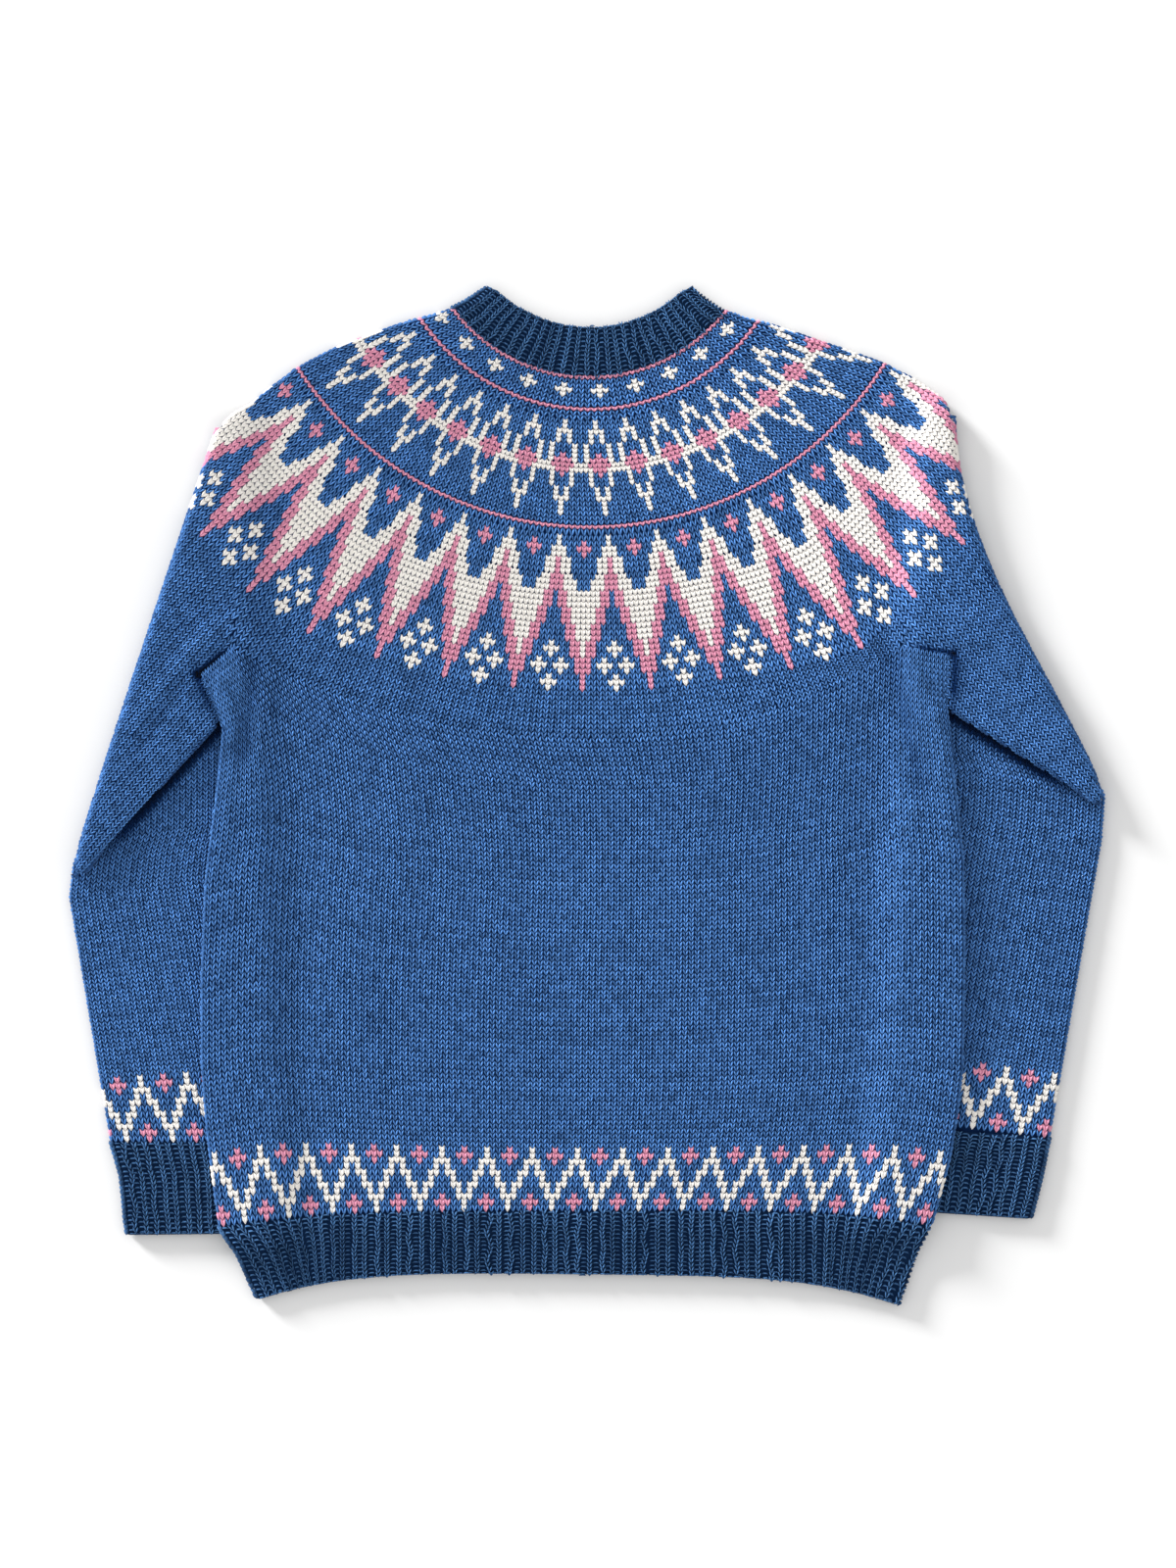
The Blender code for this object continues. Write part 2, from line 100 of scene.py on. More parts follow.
# height on the plan of the top of a row, at the middle of the back
ROW_HEIGHTS = np.array((
    # row, y
    (-11, 0.3163),
    (0, 0.2837),
    (7, 0.2620),
    (8, 0.2590),
    (10, 0.2530),
    (30, 0.1880),
    (32, 0.1820),
    (33, 0.1790),
    (34, 0.1747),
))
SPIKE_ROW, PLAIN_ROW, JOIN_ROW = 34, 62, 72      # first row of spikes, plain rows and body
SPIKE_RADIUS = 0.30      # from the spikes on, a repeat's angle is the one at this radius
SPIKE_TURN = 4           # rows in which the rounds' own angles change into it
PLAIN_REPEAT = 12        # stitches of a repeat on the plain rows
# radius at which the plain rows start under the spikes, by the angle from the middle
PLAIN_RADIUS = np.array((
    # angle, radius
    (-62.0, 0.3500),
    (-46.7, 0.3590),
    (-38.8, 0.3650),
    (-31.1, 0.3630),
    (-23.7, 0.3560),
    (-16.2, 0.3525),
    (-8.0, 0.3490),
    (-0.8, 0.3478),
    (6.9, 0.3490),
    (14.6, 0.3510),
    (22.3, 0.3600),
    (29.9, 0.3690),
    (37.8, 0.3600),
    (46.2, 0.3550),
    (62.0, 0.3480),
))
# where yoke, body and sleeve meet, and the end of the tuck under the arm
UNDERARM = {"left": (-0.2423, 0.0983), "right": (0.2123, 0.0997)}
TUCK = {"left": (-0.2643, 0.0797), "right": (0.2450, 0.0930)}
JOIN_ROWS = {"left": 72, "right": 68}      # row at which the body starts at each underarm

# ---------------------------------------------------------------- plan of the body
BODY_SIDES = np.array((
    # left_y, left_x, right_y, right_x
    (0.0797, -0.2643, 0.0930, 0.2450),
    (0.0430, -0.2495, 0.0577, 0.2437),
    (0.0063, -0.2530, 0.0063, 0.2490),
    (-0.0603, -0.2610, -0.0463, 0.2543),
    (-0.1270, -0.2637, -0.1137, 0.2550),
    (-0.1837, -0.2637, -0.1863, 0.2537),
    (-0.2270, -0.2603, -0.2203, 0.2497),
    (-0.2603, -0.2563, -0.2483, 0.2450),
    (-0.2937, -0.2517, -0.2923, 0.2330),      # top of the rib
    (-0.3100, -0.2405, -0.3100, 0.2245),
    (-0.3430, -0.2263, -0.3470, 0.2117),      # hem
))
RIB_TOP_ROW, HEM_ROW = 8, 10                   # their rows in BODY_SIDES
RIB_TOP_RISE, HEM_RISE = 0.0093, 0.0187        # how far each curves up over its ends' line
BODY_STITCHES, UNDERARM_STITCHES = 132, 11     # across the back, and on each tuck
BAND_ROW, RIB_ROW = 160, 171                   # first row of the zigzag band and of the rib
BAND_ROW_STRETCH = 1.22                        # the band's rows are this much higher
EVEN_BY = 0.35                                 # share of the way down with even stitches
HEM_STITCHES, HEM_ROWS = 128, 15
RIB_GATHER = 0.085                             # ribs lean only this close to the sides

# ---------------------------------------------------------------- plan of the sleeves
FOLD_BREAKS = (0.0, 0.12, 0.5, 1.0)            # where the points of "fold" are along it
START_BREAKS = (0.0, 0.55, 0.75, 1.0)          # shoulder, underarm, tuck, underarm edge
# places are inner end first, or from shoulder to elbow; "faces" are the angles in degrees
# that the sides of the tube face, and "runs" is the one in which the upper arm runs;
# "first_peak" is the stitch of the zigzag that is first at the outer fold
SLEEVES = {
    "left": {
        "underarm_edge": (-0.2532, 0.0490),
        "fold": ((-0.2468, 0.2475), (-0.2588, 0.2110), (-0.2970, 0.0961), (-0.3442, -0.0500)),
        "below_fold": ((-0.2448, 0.2000), (-0.3505, -0.0700)),
        "cuff_top": ((-0.2229, -0.2363), (-0.3225, -0.2370)),
        "cuff_middle": ((-0.2212, -0.2560), (-0.3158, -0.2600)),
        "cuff_end": ((-0.2202, -0.2990), (-0.3118, -0.3000)),
        "shoulder_faces": 123.3, "fold_top_faces": 71.4, "inner_faces": 3.0,
        "underarm_faces": -48.0, "fold_end_faces": -112.0, "outer_faces": -189.0,
        "runs": 228.0, "stitch": 0.00391, "first_peak": 7,
        "band_slope": (0.0, 0.075), "top_slope": 0.155,
    },
    "right": {
        "underarm_edge": (0.2458, 0.0580),
        "fold": ((0.2420, 0.2553), (0.2445, 0.2230), (0.2793, 0.1230), (0.3436, -0.0030)),
        "below_fold": ((0.2418, 0.2000), (0.3452, -0.0300)),
        "cuff_top": ((0.2122, -0.2270), (0.3098, -0.2337)),
        "cuff_middle": ((0.2090, -0.2470), (0.3040, -0.2620)),
        "cuff_end": ((0.2055, -0.2830), (0.2971, -0.2890)),
        "shoulder_faces": 58.4, "fold_top_faces": 102.0, "inner_faces": 177.0,
        "underarm_faces": 241.0, "fold_end_faces": 292.0, "outer_faces": 370.0,
        "runs": 311.0, "stitch": 0.00407, "first_peak": 1,
        "band_slope": (0.115, 0.135), "top_slope": 0.19,
    },
}
SLEEVE_ROW, SLEEVE_FIRST_ROW = 0.00293, 0.0034       # height of a row on the upper arm
SLEEVE_BAND_ROW, FOREARM_ROW = 0.00393, 0.00290      # and on band and forearm
SLEEVE_TURN = 0.02             # run in which the columns make half their turn off the yoke
# stitches and rows that are enough to cover each piece
UPPER_ARM_STITCHES, UPPER_ARM_ROWS = (36, 104), 100
FOREARM_STITCHES, FOREARM_ROWS, UNDER_ROWS = 34, 90, 165
TOP_SLOPE_ROW = 45             # row above the cuff that has the slope "top_slope"
ARM_TUCKED, UNDER_TUCKED = 0.0030, 0.0018      # how far stitches go under what covers them
FOREARM_UNDER_BODY = 0.012
ELBOW_OVERLAP, FOREARM_OVERLAP = 0.008, 0.005  # how far a forearm's stitches go under the
OVERLAP_START, OVERLAP_RUN = 0.004, 0.02       # upper arm: at the elbow, and more past it
ARM_SHADOW, ARM_SHADOW_WIDTH = 1.45, 0.0095    # its shadow on them, which starts slowly
ARM_SHADOW_GAP, ARM_SHADOW_RUN = 0.0008, 0.050     # from the tip of the elbow
CUFF_STITCHES, CUFF_ROWS = 28, 19
NECK_STITCHES, NECK_ROWS = 54, 11
NECK_CORNER = 0.0018           # how much the band's top corners are rounded off
NECK_CORNER_START, NECK_CORNER_RUN = 0.92, 0.08      # shares of the half width
NECK_WRAP = 1.069              # the stitches reach this share of it, round the folds

# soft troughs and ridges: the ends of each, its half width and its height
BODY_CREASES = np.array((
    # x0, y0, x1, y1, half_width, height
    (-0.2270, 0.0880, -0.2350, 0.0250, 0.0070, -0.0030),     # beside the side ridges
    (0.2060, 0.0880, 0.2230, 0.0080, 0.0080, -0.0030),
    (-0.2500, 0.0760, -0.2410, 0.0400, 0.0050, 0.0020),      # the ridges themselves
    (-0.2410, 0.0400, -0.2480, -0.0400, 0.0050, 0.0012),
    (0.2190, 0.0930, 0.2350, 0.0520, 0.0050, 0.0022),
    (0.2370, 0.0500, 0.2430, -0.0400, 0.0045, 0.0012),
    (-0.1200, 0.0150, -0.1650, -0.1600, 0.0300, 0.0016),     # slack of the back
    (0.0700, -0.0200, 0.1250, -0.2000, 0.0300, 0.0016),
    (-0.0300, -0.0500, -0.0150, -0.2300, 0.0260, -0.0014),
    (-0.2000, -0.0500, -0.2150, -0.2200, 0.0160, -0.0012),
    (0.1900, 0.0100, 0.2050, -0.2000, 0.0170, -0.0012),
    (-0.1300, 0.0600, 0.1000, 0.0300, 0.0280, 0.0014),
))
SLEEVE_CREASES = np.array((
    # x0, y0, x1, y1, half_width, height
    (-0.2450, 0.0990, -0.2660, 0.0810, 0.0060, -0.0016),     # gaps under the arms
    (0.2150, 0.1030, 0.2470, 0.0960, 0.0060, -0.0016),
    (-0.2600, 0.1070, -0.3010, 0.0520, 0.0070, 0.0022),      # folds along the left sleeve
    (-0.2720, 0.0850, -0.3030, 0.0330, 0.0060, -0.0022),
    (-0.2500, 0.1280, -0.2930, 0.0850, 0.0080, -0.0016),
    (0.2560, 0.1180, 0.3100, 0.0720, 0.0075, 0.0022),        # and along the right one
    (0.2620, 0.0940, 0.3080, 0.0520, 0.0060, -0.0020),
    (0.2700, 0.1500, 0.3100, 0.1100, 0.0090, -0.0014),
))
# where stitches lie in the shadow of others, with the light that it takes away
BODY_SHADE = np.array((
    # x0, y0, x1, y1, half_width, light
    (-0.2250, 0.0880, -0.2340, 0.0250, 0.0060, -0.35),
    (0.2080, 0.0880, 0.2240, 0.0080, 0.0070, -0.35),
))
SLEEVE_SHADE = np.array((
    # x0, y0, x1, y1, half_width, light
    (-0.2480, 0.0945, -0.2645, 0.0815, 0.0028, -1.60),
    (-0.2660, 0.0790, -0.2500, 0.0450, 0.0035, -0.75),
    (0.2240, 0.0990, 0.2460, 0.0950, 0.0022, -1.10),
    (0.2475, 0.0930, 0.2460, 0.0560, 0.0036, -0.75),
    (0.2530, 0.0900, 0.2510, 0.0700, 0.0070, -0.40),
    (-0.2700, 0.0800, -0.2620, 0.0600, 0.0060, -0.30),
))

# ---------------------------------------------------------------- charts
# one letter a stitch: . blue, w cream, p pink; the repeat runs to the right, rows run down
YOKE_CHARTS = (
    # first row, stitches in a repeat, rows
    (0, 4, ("pppppp", "......", "...w..", "..www.", "...w..", "......", "......", "pppppp",
            "......", "......")),
    (10, 6, ("...w..", "...w..", "..www.", "..w.w.", "..w.w.", ".w...w", ".w...w", ".w.p.w",
             ".wpppw")),
    (19, 8, ("wwpppppw", "wwwpppww", "..w.p.w.", "..w...w.", "..w...w.", "...w.w..", "...w.w..",
             "...www..", "....w...", "....w...", "....w...", "........", "........", "pppppppp",
             "........")),
    (34, 10, (".....w....", "p....w....", "pp..www..p", "p...www...", "...wwpww..",
              "...wwpww..", "...wwpww..")),
    (41, 12, ("...wwpppww..", "..wwwpppwww.", "..wwwpppwww.", "wwwwpp.ppwww", "wwwwpp.ppwww",
              "wwwwpp.ppwww", "wwwpp...ppww", "wwwpp...ppww", "wwwpp...ppww", "wwpp.....ppw",
              "wwpp.....ppw", "wwpp.....ppw", "wpp...w...pp", "wpp..www..pp", "wpp...w...pp",
              "pp..w...w..p", "pp.www.www.p", "pp..w...w..p", "p.....w.....", "p....www....",
              "p.....w.....")),
    (62, 12, ("............",)),
)
ZIGZAG = ("w...p...", "w..ppp..", "ww..p..w", ".w.....w", ".ww...ww", "..w...w.", "..ww.ww.",
          "...w.w..", "p..www..", "pp..w..p", "p...w...")
YARNS = ".wp"
PINK_ROUND_SHRINK = 0.13       # single pink rounds are squeezed thin by the rows beside them
REPEAT_SPAN = (-8.0, 8.3)      # repeats that can show on the back, from the middle

# ---------------------------------------------------------------- wools and knitting
WOOLS = (
    # name, wool, light fibre, dark fibre, gap shade, flecks, unevenness and leg light, shade
    # depth, sheen
    ("denim_blue_wool", (0.112, 0.310, 0.740), (0.25, 0.50, 0.90), (0.040, 0.165, 0.460),
     (0.001, 0.022, 0.100), 0.8, 0.50, 0.8, 0.03),
    ("cream_wool", (0.95, 0.92, 0.88), (0.96, 0.95, 0.93), (0.86, 0.83, 0.79),
     (0.74, 0.70, 0.65), 0.4, 0.06, 0.4, 0.0),
    ("pink_wool", (0.88, 0.40, 0.54), (0.95, 0.62, 0.72), (0.68, 0.26, 0.38),
     (0.46, 0.14, 0.25), 0.5, 0.16, 0.6, 0.05),
    # painted shade: the ribs' blue is the body's wool made darker, as the shade that falls in the
    # ribbing
    ("rib_blue_wool_shaded", (0.078, 0.205, 0.440), (0.20, 0.38, 0.64), (0.020, 0.080, 0.210),
     (0.001, 0.014, 0.055), 0.8, 0.40, 1.0, 0.03),
    # painted shade: the cloth under stitches and ribs is near black, as the shade that falls
    # between them
    ("wool_between_stitches", (0.001, 0.014, 0.064), (0.01, 0.04, 0.12),
     (0.001, 0.008, 0.035), (0.001, 0.011, 0.050), 0.5, 0.1, 1.0, 0.0),
    ("wool_between_ribs_shaded", (0.003, 0.020, 0.065), (0.01, 0.04, 0.11), (0.002, 0.008, 0.025),
     (0.002, 0.010, 0.035), 0.5, 0.1, 1.0, 0.0),
)
STRAY, SWELL = 0.022, 0.07     # how unevenly stitches lie, in stitches, and how much in size
# how much stitches, their strands and whole rounds differ in tone
STITCH_TONE, STRAND_TONE, ROUND_TONE = 0.13, 0.11, 0.06
LEG_PAINTED_LIGHT = 0.6                 # right legs are painted paler than left ones, as if they catch the light
LAST_TURN, LAST_UNDER_TURN = 1.75, 1.40      # stitches turned further round a fold are left out
EDGE_SHADE = 0.75              # light that stitches turned down a fold lose
# the ribs' columns wander: how far each leans, sways and starts its sway, and how far its
# rows are out of step, and the light on it
COLUMN_WANDER = (0.12, 0.13, 2.0, 0.30)
SWAY_STEP, COLUMN_LIGHT, COLUMN_LIGHT_RANGE = 0.9, 0.16, (0.6, 1.3)
# painted light on the ribs from top to bottom: they open a little beside plain knitting and take
# less shade there
RIB_LIGHT = {
    # share of the way down, light there
    "hem_rib": ((0.0, 0.3), (1.5, 1.0)), "neckband": ((0.3, 0.8), (1.25, 1.1)),
    "cuff": ((0.0, 0.3), (1.6, 1.2)),
}
RIB_PARTS = (
    # label, raised, light, spread
    ("knit", 0.0011, 1.0, 0.02),
    ("purl", -0.0001, 0.7, 0.10),
    ("edge", 0.0004, 0.8, 0.08),
)


# ---------------------------------------------------------------- small tools
def mix(a, b, amount):
    """The value that lies an amount of the way from a to b."""
    return a + (b - a) * amount


def smooth(amount):
    """A soft step from 0 to 1."""
    amount = np.clip(amount, 0.0, 1.0)
    return amount * amount * (3 - 2 * amount)


def read(table, key_column, key, value_column):
    """One column of a table at a key between its rows."""
    order = np.argsort(table[:, key_column])
    return np.interp(key, table[order, key_column], table[order, value_column])


def on_curve(points, breaks, amount):
    """The smooth curve that meets each point at its break."""
    amount = np.asarray(amount, float)
    place = np.zeros(amount.shape + (2,))
    for point, own in zip(points, breaks):
        weight = np.ones_like(amount)
        for other in breaks:
            if other != own:
                weight = weight * (amount - other) / (own - other)
        place += weight[..., None] * np.array(point)
    return place


def facing(angle):
    """The way that an angle in degrees points on the plan."""
    return np.array([math.cos(math.radians(angle)), math.sin(math.radians(angle))])


def unit(vectors):
    """Vectors of length 1."""
    return vectors / np.linalg.norm(vectors, axis=-1, keepdims=True)


def side_of_line(points, start, end):
    """Signed distance of points from a line, positive on its left."""
    along = unit(np.array(end) - np.array(start))
    away = points - np.array(start)
    return along[0] * away[..., 1] - along[1] * away[..., 0]


def polyline(points, breaks, amount):
    """The straight runs that meet each point at its break."""
    points = np.asarray(points, float)
    return np.stack([np.interp(amount, breaks, points[:, axis]) for axis in (0, 1)], -1)


def placed(name, data):
    """A new object of the scene."""
    thing = bpy.data.objects.new(name, data)
    bpy.context.scene.collection.objects.link(thing)
    return thing


def point_values(mesh, name, values):
    """Numbers on the points of a mesh, which its wool reads by their name."""
    mesh.attributes.new(name, "FLOAT", "POINT").data.foreach_set(
        "value", np.asarray(values, np.float32))


# ---------------------------------------------------------------- heights
def forearm_inner_x(side, y):
    """Middle of the forearm's inner fold, moved in to the fold of what lies on it."""
    sleeve = SLEEVES[side]
    rows = np.array([sleeve[key][0][::-1] for key in ("cuff_end", "cuff_top", "fold")])
    return read(rows, 0, y, 1) + INWARD[side] * EDGE


def floor_under(x, y):
    """Height of the underside of yoke, body and upper arms: raised over the forearms."""
    height = np.zeros(np.broadcast(x, y).shape)
    for side, inward in INWARD.items():
        top = SLEEVES[side]["fold"][0][1]
        end = min(point[1] for point in SLEEVES[side]["cuff_end"])
        across = np.maximum(0.0, inward * (x - forearm_inner_x(side, y)) - CLEARANCE)
        along = np.maximum(0.0, np.maximum(y - top, end - CLEARANCE - y))
        reach = np.hypot(across, along)
        height = np.maximum(height, STACK * (1 - smooth(reach / DRAPE)))
    return height


def creases(table, x, y):
    """Height, or light, that the rows of a table add along their lines."""
    total = np.zeros(np.broadcast(x, y).shape)
    for x0, y0, x1, y1, half_width, height in table:
        run = np.array([x1 - x0, y1 - y0])
        length = np.hypot(*run)
        along = ((x - x0) * run[0] + (y - y0) * run[1]) / length ** 2
        across = (run[0] * (y - y0) - run[1] * (x - x0)) / length
        ends = smooth((along + 0.25) / 0.25) * smooth((1.25 - along) / 0.25)
        total += height * ends * np.exp(-(across / half_width) ** 2)
    return total


# ---------------------------------------------------------------- plan of yoke and body
def outer_polar(points):
    """Angle from straight down, in degrees, and radius about the outer rounds' centre."""
    across = points[..., 0] - CENTRE_X
    down = OUTER_CENTRE_Y - points[..., 1]
    return np.degrees(np.arctan2(across, down)), np.hypot(across, down)


def from_polar(angle, radius, centre_y=OUTER_CENTRE_Y):
    """Place at an angle in degrees and a radius about a round's centre."""
    angle = np.radians(angle)
    return np.stack([CENTRE_X + radius * np.sin(angle), centre_y - radius * np.cos(angle)], -1)


UNDERARM_POLAR = {side: [float(value) for value in outer_polar(np.array(UNDERARM[side]))]
                  for side in UNDERARM}


def join_radius(angle):
    """Radius of the line where yoke and body meet."""
    left, right = UNDERARM_POLAR["left"], UNDERARM_POLAR["right"]
    end_angle = np.where(angle < 0, left[0], right[0])
    end_radius = np.where(angle < 0, left[1], right[1])
    return mix(JOIN_DEPTH, end_radius, (angle / end_angle) ** 2)


def join_row(angle):
    """The row that lies on that line: the right underarm is pulled up a little."""
    right = UNDERARM_POLAR["right"][0]
    return mix(JOIN_ROWS["left"], JOIN_ROWS["right"], smooth(angle / right))


def round_radius(row):
    """Radius of the round that starts a row, above the spikes."""
    radii = np.linspace(NECK_TOP, SPIKE_RADIUS, 800)
    heights = read(YOKE_ROUNDS, 0, radii, 1) - radii
    wanted = np.interp(row, ROW_HEIGHTS[:, 0], ROW_HEIGHTS[:, 1])
    return np.interp(wanted, heights[::-1], radii[::-1])


def repeat_angle(repeat, radius):
    """Angle of a repeat of the pattern, in degrees from the middle of the back."""
    return read(REPEAT_ANGLES, 0, radius, 1) + repeat * read(REPEAT_ANGLES, 0, radius, 2)


def yoke_place(repeat, row):
    """Place on the plan of a point of the yoke, by repeat and row."""
    repeat, row = np.broadcast_arrays(np.asarray(repeat, float), np.asarray(row, float))
    radius = round_radius(np.minimum(row, SPIKE_ROW))
    below = row > SPIKE_ROW
    middle = np.where(below, SPIKE_RADIUS, radius)
    angle = repeat_angle(repeat, middle)
    down = (row - SPIKE_ROW) / (PLAIN_ROW - SPIKE_ROW)
    plain_radius = read(PLAIN_RADIUS, 0, angle, 1)
    last = join_row(angle)
    past = (row - PLAIN_ROW) / (last - PLAIN_ROW)
    lower = np.where(row > PLAIN_ROW, mix(plain_radius, join_radius(angle), past),
                     mix(radius, plain_radius, down))
    # the rounds' own angles change slowly into those of the spikes
    turn = smooth((row - SPIKE_ROW) / SPIKE_TURN)
    start_angle = repeat_angle(repeat, radius)
    angle = np.where(below, mix(start_angle, angle, turn), start_angle)
    radius = np.where(below, lower, radius)
    centre = np.where(below, OUTER_CENTRE_Y, read(YOKE_ROUNDS, 0, radius, 1))
    return from_polar(angle, radius, centre)


def rib_rise(fraction, rise):
    """How far the curve of the hem lies over its ends' line, by the share across."""
    return rise * (1 - np.abs(2 * fraction - 1) ** 4)


def body_line(down, top_row, bottom_row):
    """Ends of the straight line across the body at a share of the way down."""
    top, bottom = BODY_SIDES[top_row], BODY_SIDES[bottom_row]
    left_y, right_y = mix(top[0], bottom[0], down), mix(top[2], bottom[2], down)
    left_x = read(BODY_SIDES, 0, left_y, 1) + EDGE
    right_x = read(BODY_SIDES, 2, right_y, 3) - EDGE
    return left_x, left_y, right_x, right_y


def wrapped_fraction(stitch, count, wide):
    """Share of the way across of a stitch, counted from the middle of one side fold."""
    turn = EDGE * math.pi / 2
    return (mix(-turn, wide + turn, stitch / count)) / wide


def body_place(stitch, row):
    """Place on the plan of a point of the body, by stitch and row."""
    stitch, row = np.broadcast_arrays(np.asarray(stitch, float), np.asarray(row, float))
    last = BODY_STITCHES - UNDERARM_STITCHES
    share = np.clip((stitch - UNDERARM_STITCHES) / (last - UNDERARM_STITCHES), 0, 1)
    left, right = UNDERARM_POLAR["left"][0], UNDERARM_POLAR["right"][0]
    angle = mix(left, right, share)
    start = from_polar(angle, join_radius(angle))
    # the stitches of each underarm lie on its tuck
    for side, count in (("left", UNDERARM_STITCHES - stitch), ("right", stitch - last)):
        tuck, arm = np.array(TUCK[side]), np.array(UNDERARM[side])
        out = np.clip(count / UNDERARM_STITCHES, 0, 1.2)
        inner = tuck + unit(arm - tuck) * EDGE
        start = np.where((count > 0)[..., None], mix(arm, inner, out[..., None]), start)
    first_left = TUCK["left"][0] + EDGE
    first_right = TUCK["right"][0] - EDGE
    first = (start[..., 0] - first_left) / (first_right - first_left)
    chord = mix(TUCK["left"][1], TUCK["right"][1], first)
    first_row = join_row(angle)
    plain = BAND_ROW - first_row
    weight = np.where(row < BAND_ROW, row - first_row,
                      plain + (row - BAND_ROW) * BAND_ROW_STRETCH)
    down = weight / (plain + (RIB_ROW - BAND_ROW) * BAND_ROW_STRETCH)
    left_x, left_y, right_x, right_y = body_line(down, 0, RIB_TOP_ROW)
    even = wrapped_fraction(stitch, BODY_STITCHES, right_x - left_x)
    fraction = mix(first, even, smooth(down / EVEN_BY))
    sag = mix(start[..., 1] - chord, rib_rise(np.clip(fraction, 0, 1), RIB_TOP_RISE),
              np.clip(down, 0, 1))
    return np.stack([mix(left_x, right_x, fraction), mix(left_y, right_y, fraction) + sag], -1)


def hem_place(stitch, row):
    """Place on the plan of a point of the hem rib."""
    stitch, row = np.broadcast_arrays(np.asarray(stitch, float), np.asarray(row, float))
    down = row / HEM_ROWS
    left_x, left_y, right_x, right_y = body_line(down, RIB_TOP_ROW, HEM_ROW)
    top_left, _, top_right, _ = body_line(0.0, RIB_TOP_ROW, HEM_ROW)
    fraction = wrapped_fraction(stitch, HEM_STITCHES, top_right - top_left)
    x = mix(top_left, top_right, fraction)
    x = (x + (left_x - top_left) * (1 - smooth((x - top_left) / RIB_GATHER))
         + (right_x - top_right) * (1 - smooth((top_right - x) / RIB_GATHER)))
    fraction = (x - left_x) / (right_x - left_x)
    inside = np.clip(fraction, 0, 1)
    lift = mix(rib_rise(inside, RIB_TOP_RISE), rib_rise(inside, HEM_RISE), down)
    return np.stack([x, mix(left_y, right_y, fraction) + lift], -1)


def neck_top(share):
    """Radius of the neckband's top edge, which is rounded off at the shoulders."""
    corner = np.clip((np.abs(share) - NECK_CORNER_START) / NECK_CORNER_RUN, 0, 1)
    return NECK_TOP + NECK_CORNER * corner ** 2


def neck_place(stitch, row):
    """Place on the plan of a point of the neckband."""
    stitch, row = np.broadcast_arrays(np.asarray(stitch, float), np.asarray(row, float))
    top = neck_top(NECK_WRAP * (2 * stitch / NECK_STITCHES - 1))
    radius = mix(top, NECK_BASE, row / NECK_ROWS)
    left = read(YOKE_ROUNDS, 0, radius, 2)
    right = read(YOKE_ROUNDS, 0, radius, 3)
    turn = np.degrees((math.pi / 2 - 1) * EDGE / radius)
    angle = mix(-left - turn, right + turn, stitch / NECK_STITCHES)
    return from_polar(angle, radius, read(YOKE_ROUNDS, 0, radius, 1))


# ---------------------------------------------------------------- plan of the sleeves
def sleeve_place(side, repeat, row):
    """Place on the plan of a point of an upper arm: the yoke's rounds, then the sleeve's."""
    repeat, row = np.broadcast_arrays(np.asarray(repeat, float), np.asarray(row, float))
    on_yoke = yoke_place(repeat, np.minimum(row, PLAIN_ROW))
    angle = repeat_angle(repeat, SPIKE_RADIUS)
    spoke = np.stack([np.sin(np.radians(angle)), -np.cos(np.radians(angle))], -1)
    down = np.maximum(row - PLAIN_ROW, 0.0)
    first = JOIN_ROW - PLAIN_ROW
    run = np.minimum(down, first) * SLEEVE_FIRST_ROW + np.maximum(down - first, 0) * SLEEVE_ROW
    turned = (run / (run + SLEEVE_TURN))[..., None]
    way = unit(mix(spoke, facing(SLEEVES[side]["runs"]), turned))
    return on_yoke + way * run[..., None]


def forearm_height(row):
    """Distance above the cuff of the start of a row, counted up from the cuff."""
    band = len(ZIGZAG)
    return np.minimum(row, band) * SLEEVE_BAND_ROW + np.maximum(row - band, 0) * FOREARM_ROW


def forearm_place(side, stitch, row):
    """Place on the plan of a point of a forearm; stitches count in from its outer fold."""
    stitch, row = np.broadcast_arrays(np.asarray(stitch, float), np.asarray(row, float))
    sleeve = SLEEVES[side]
    outer = forearm_outer(side)
    y = sleeve["cuff_top"][1][1] + forearm_height(row)
    x = read(outer, 1, y, 0)
    inside = stitch * sleeve["stitch"] - EDGE * math.pi / 2
    low, high = sleeve["band_slope"]
    slope = np.interp(row, (0, len(ZIGZAG), TOP_SLOPE_ROW), (low, high, sleeve["top_slope"]))
    return np.stack([x + INWARD[side] * inside, y + inside * slope], -1)


def cuff_place(side, stitch, row):
    """Place on the plan of a point of a cuff; stitches count in from its outer fold."""
    stitch, row = np.broadcast_arrays(np.asarray(stitch, float), np.asarray(row, float))
    sleeve = SLEEVES[side]
    corners = np.array([sleeve[key] for key in ("cuff_top", "cuff_middle", "cuff_end")])
    heights = corners[:, 1, 1]
    down = mix(heights[0], heights[2], row / CUFF_ROWS)
    order = np.argsort(heights)
    inner, outer = (polyline(corners[order, edge], heights[order], down) for edge in (0, 1))
    wide = np.linalg.norm(inner - outer, axis=-1)
    fraction = wrapped_fraction(stitch, CUFF_STITCHES, wide)
    return mix(outer, inner, fraction[..., None])


# ---------------------------------------------------------------- folds
def way_out(line, side):
    """The way out of the cloth along a fold's line, which runs downwards."""
    along = unit(np.gradient(line, axis=0))
    return INWARD[side] * np.stack([along[:, 1], -along[:, 0]], -1)


def fold_line(points, side):
    """A fold as closely spaced points, with the way out and the radius at each."""
    points = np.asarray(points, float)
    steps = np.concatenate([[0], np.cumsum(np.linalg.norm(np.diff(points, axis=0), axis=1))])
    count = max(3, int(steps[-1] / FOLD_STEP))
    line = polyline(points, steps, np.linspace(0, steps[-1], count))
    return line, way_out(line, side), np.full(count, EDGE)


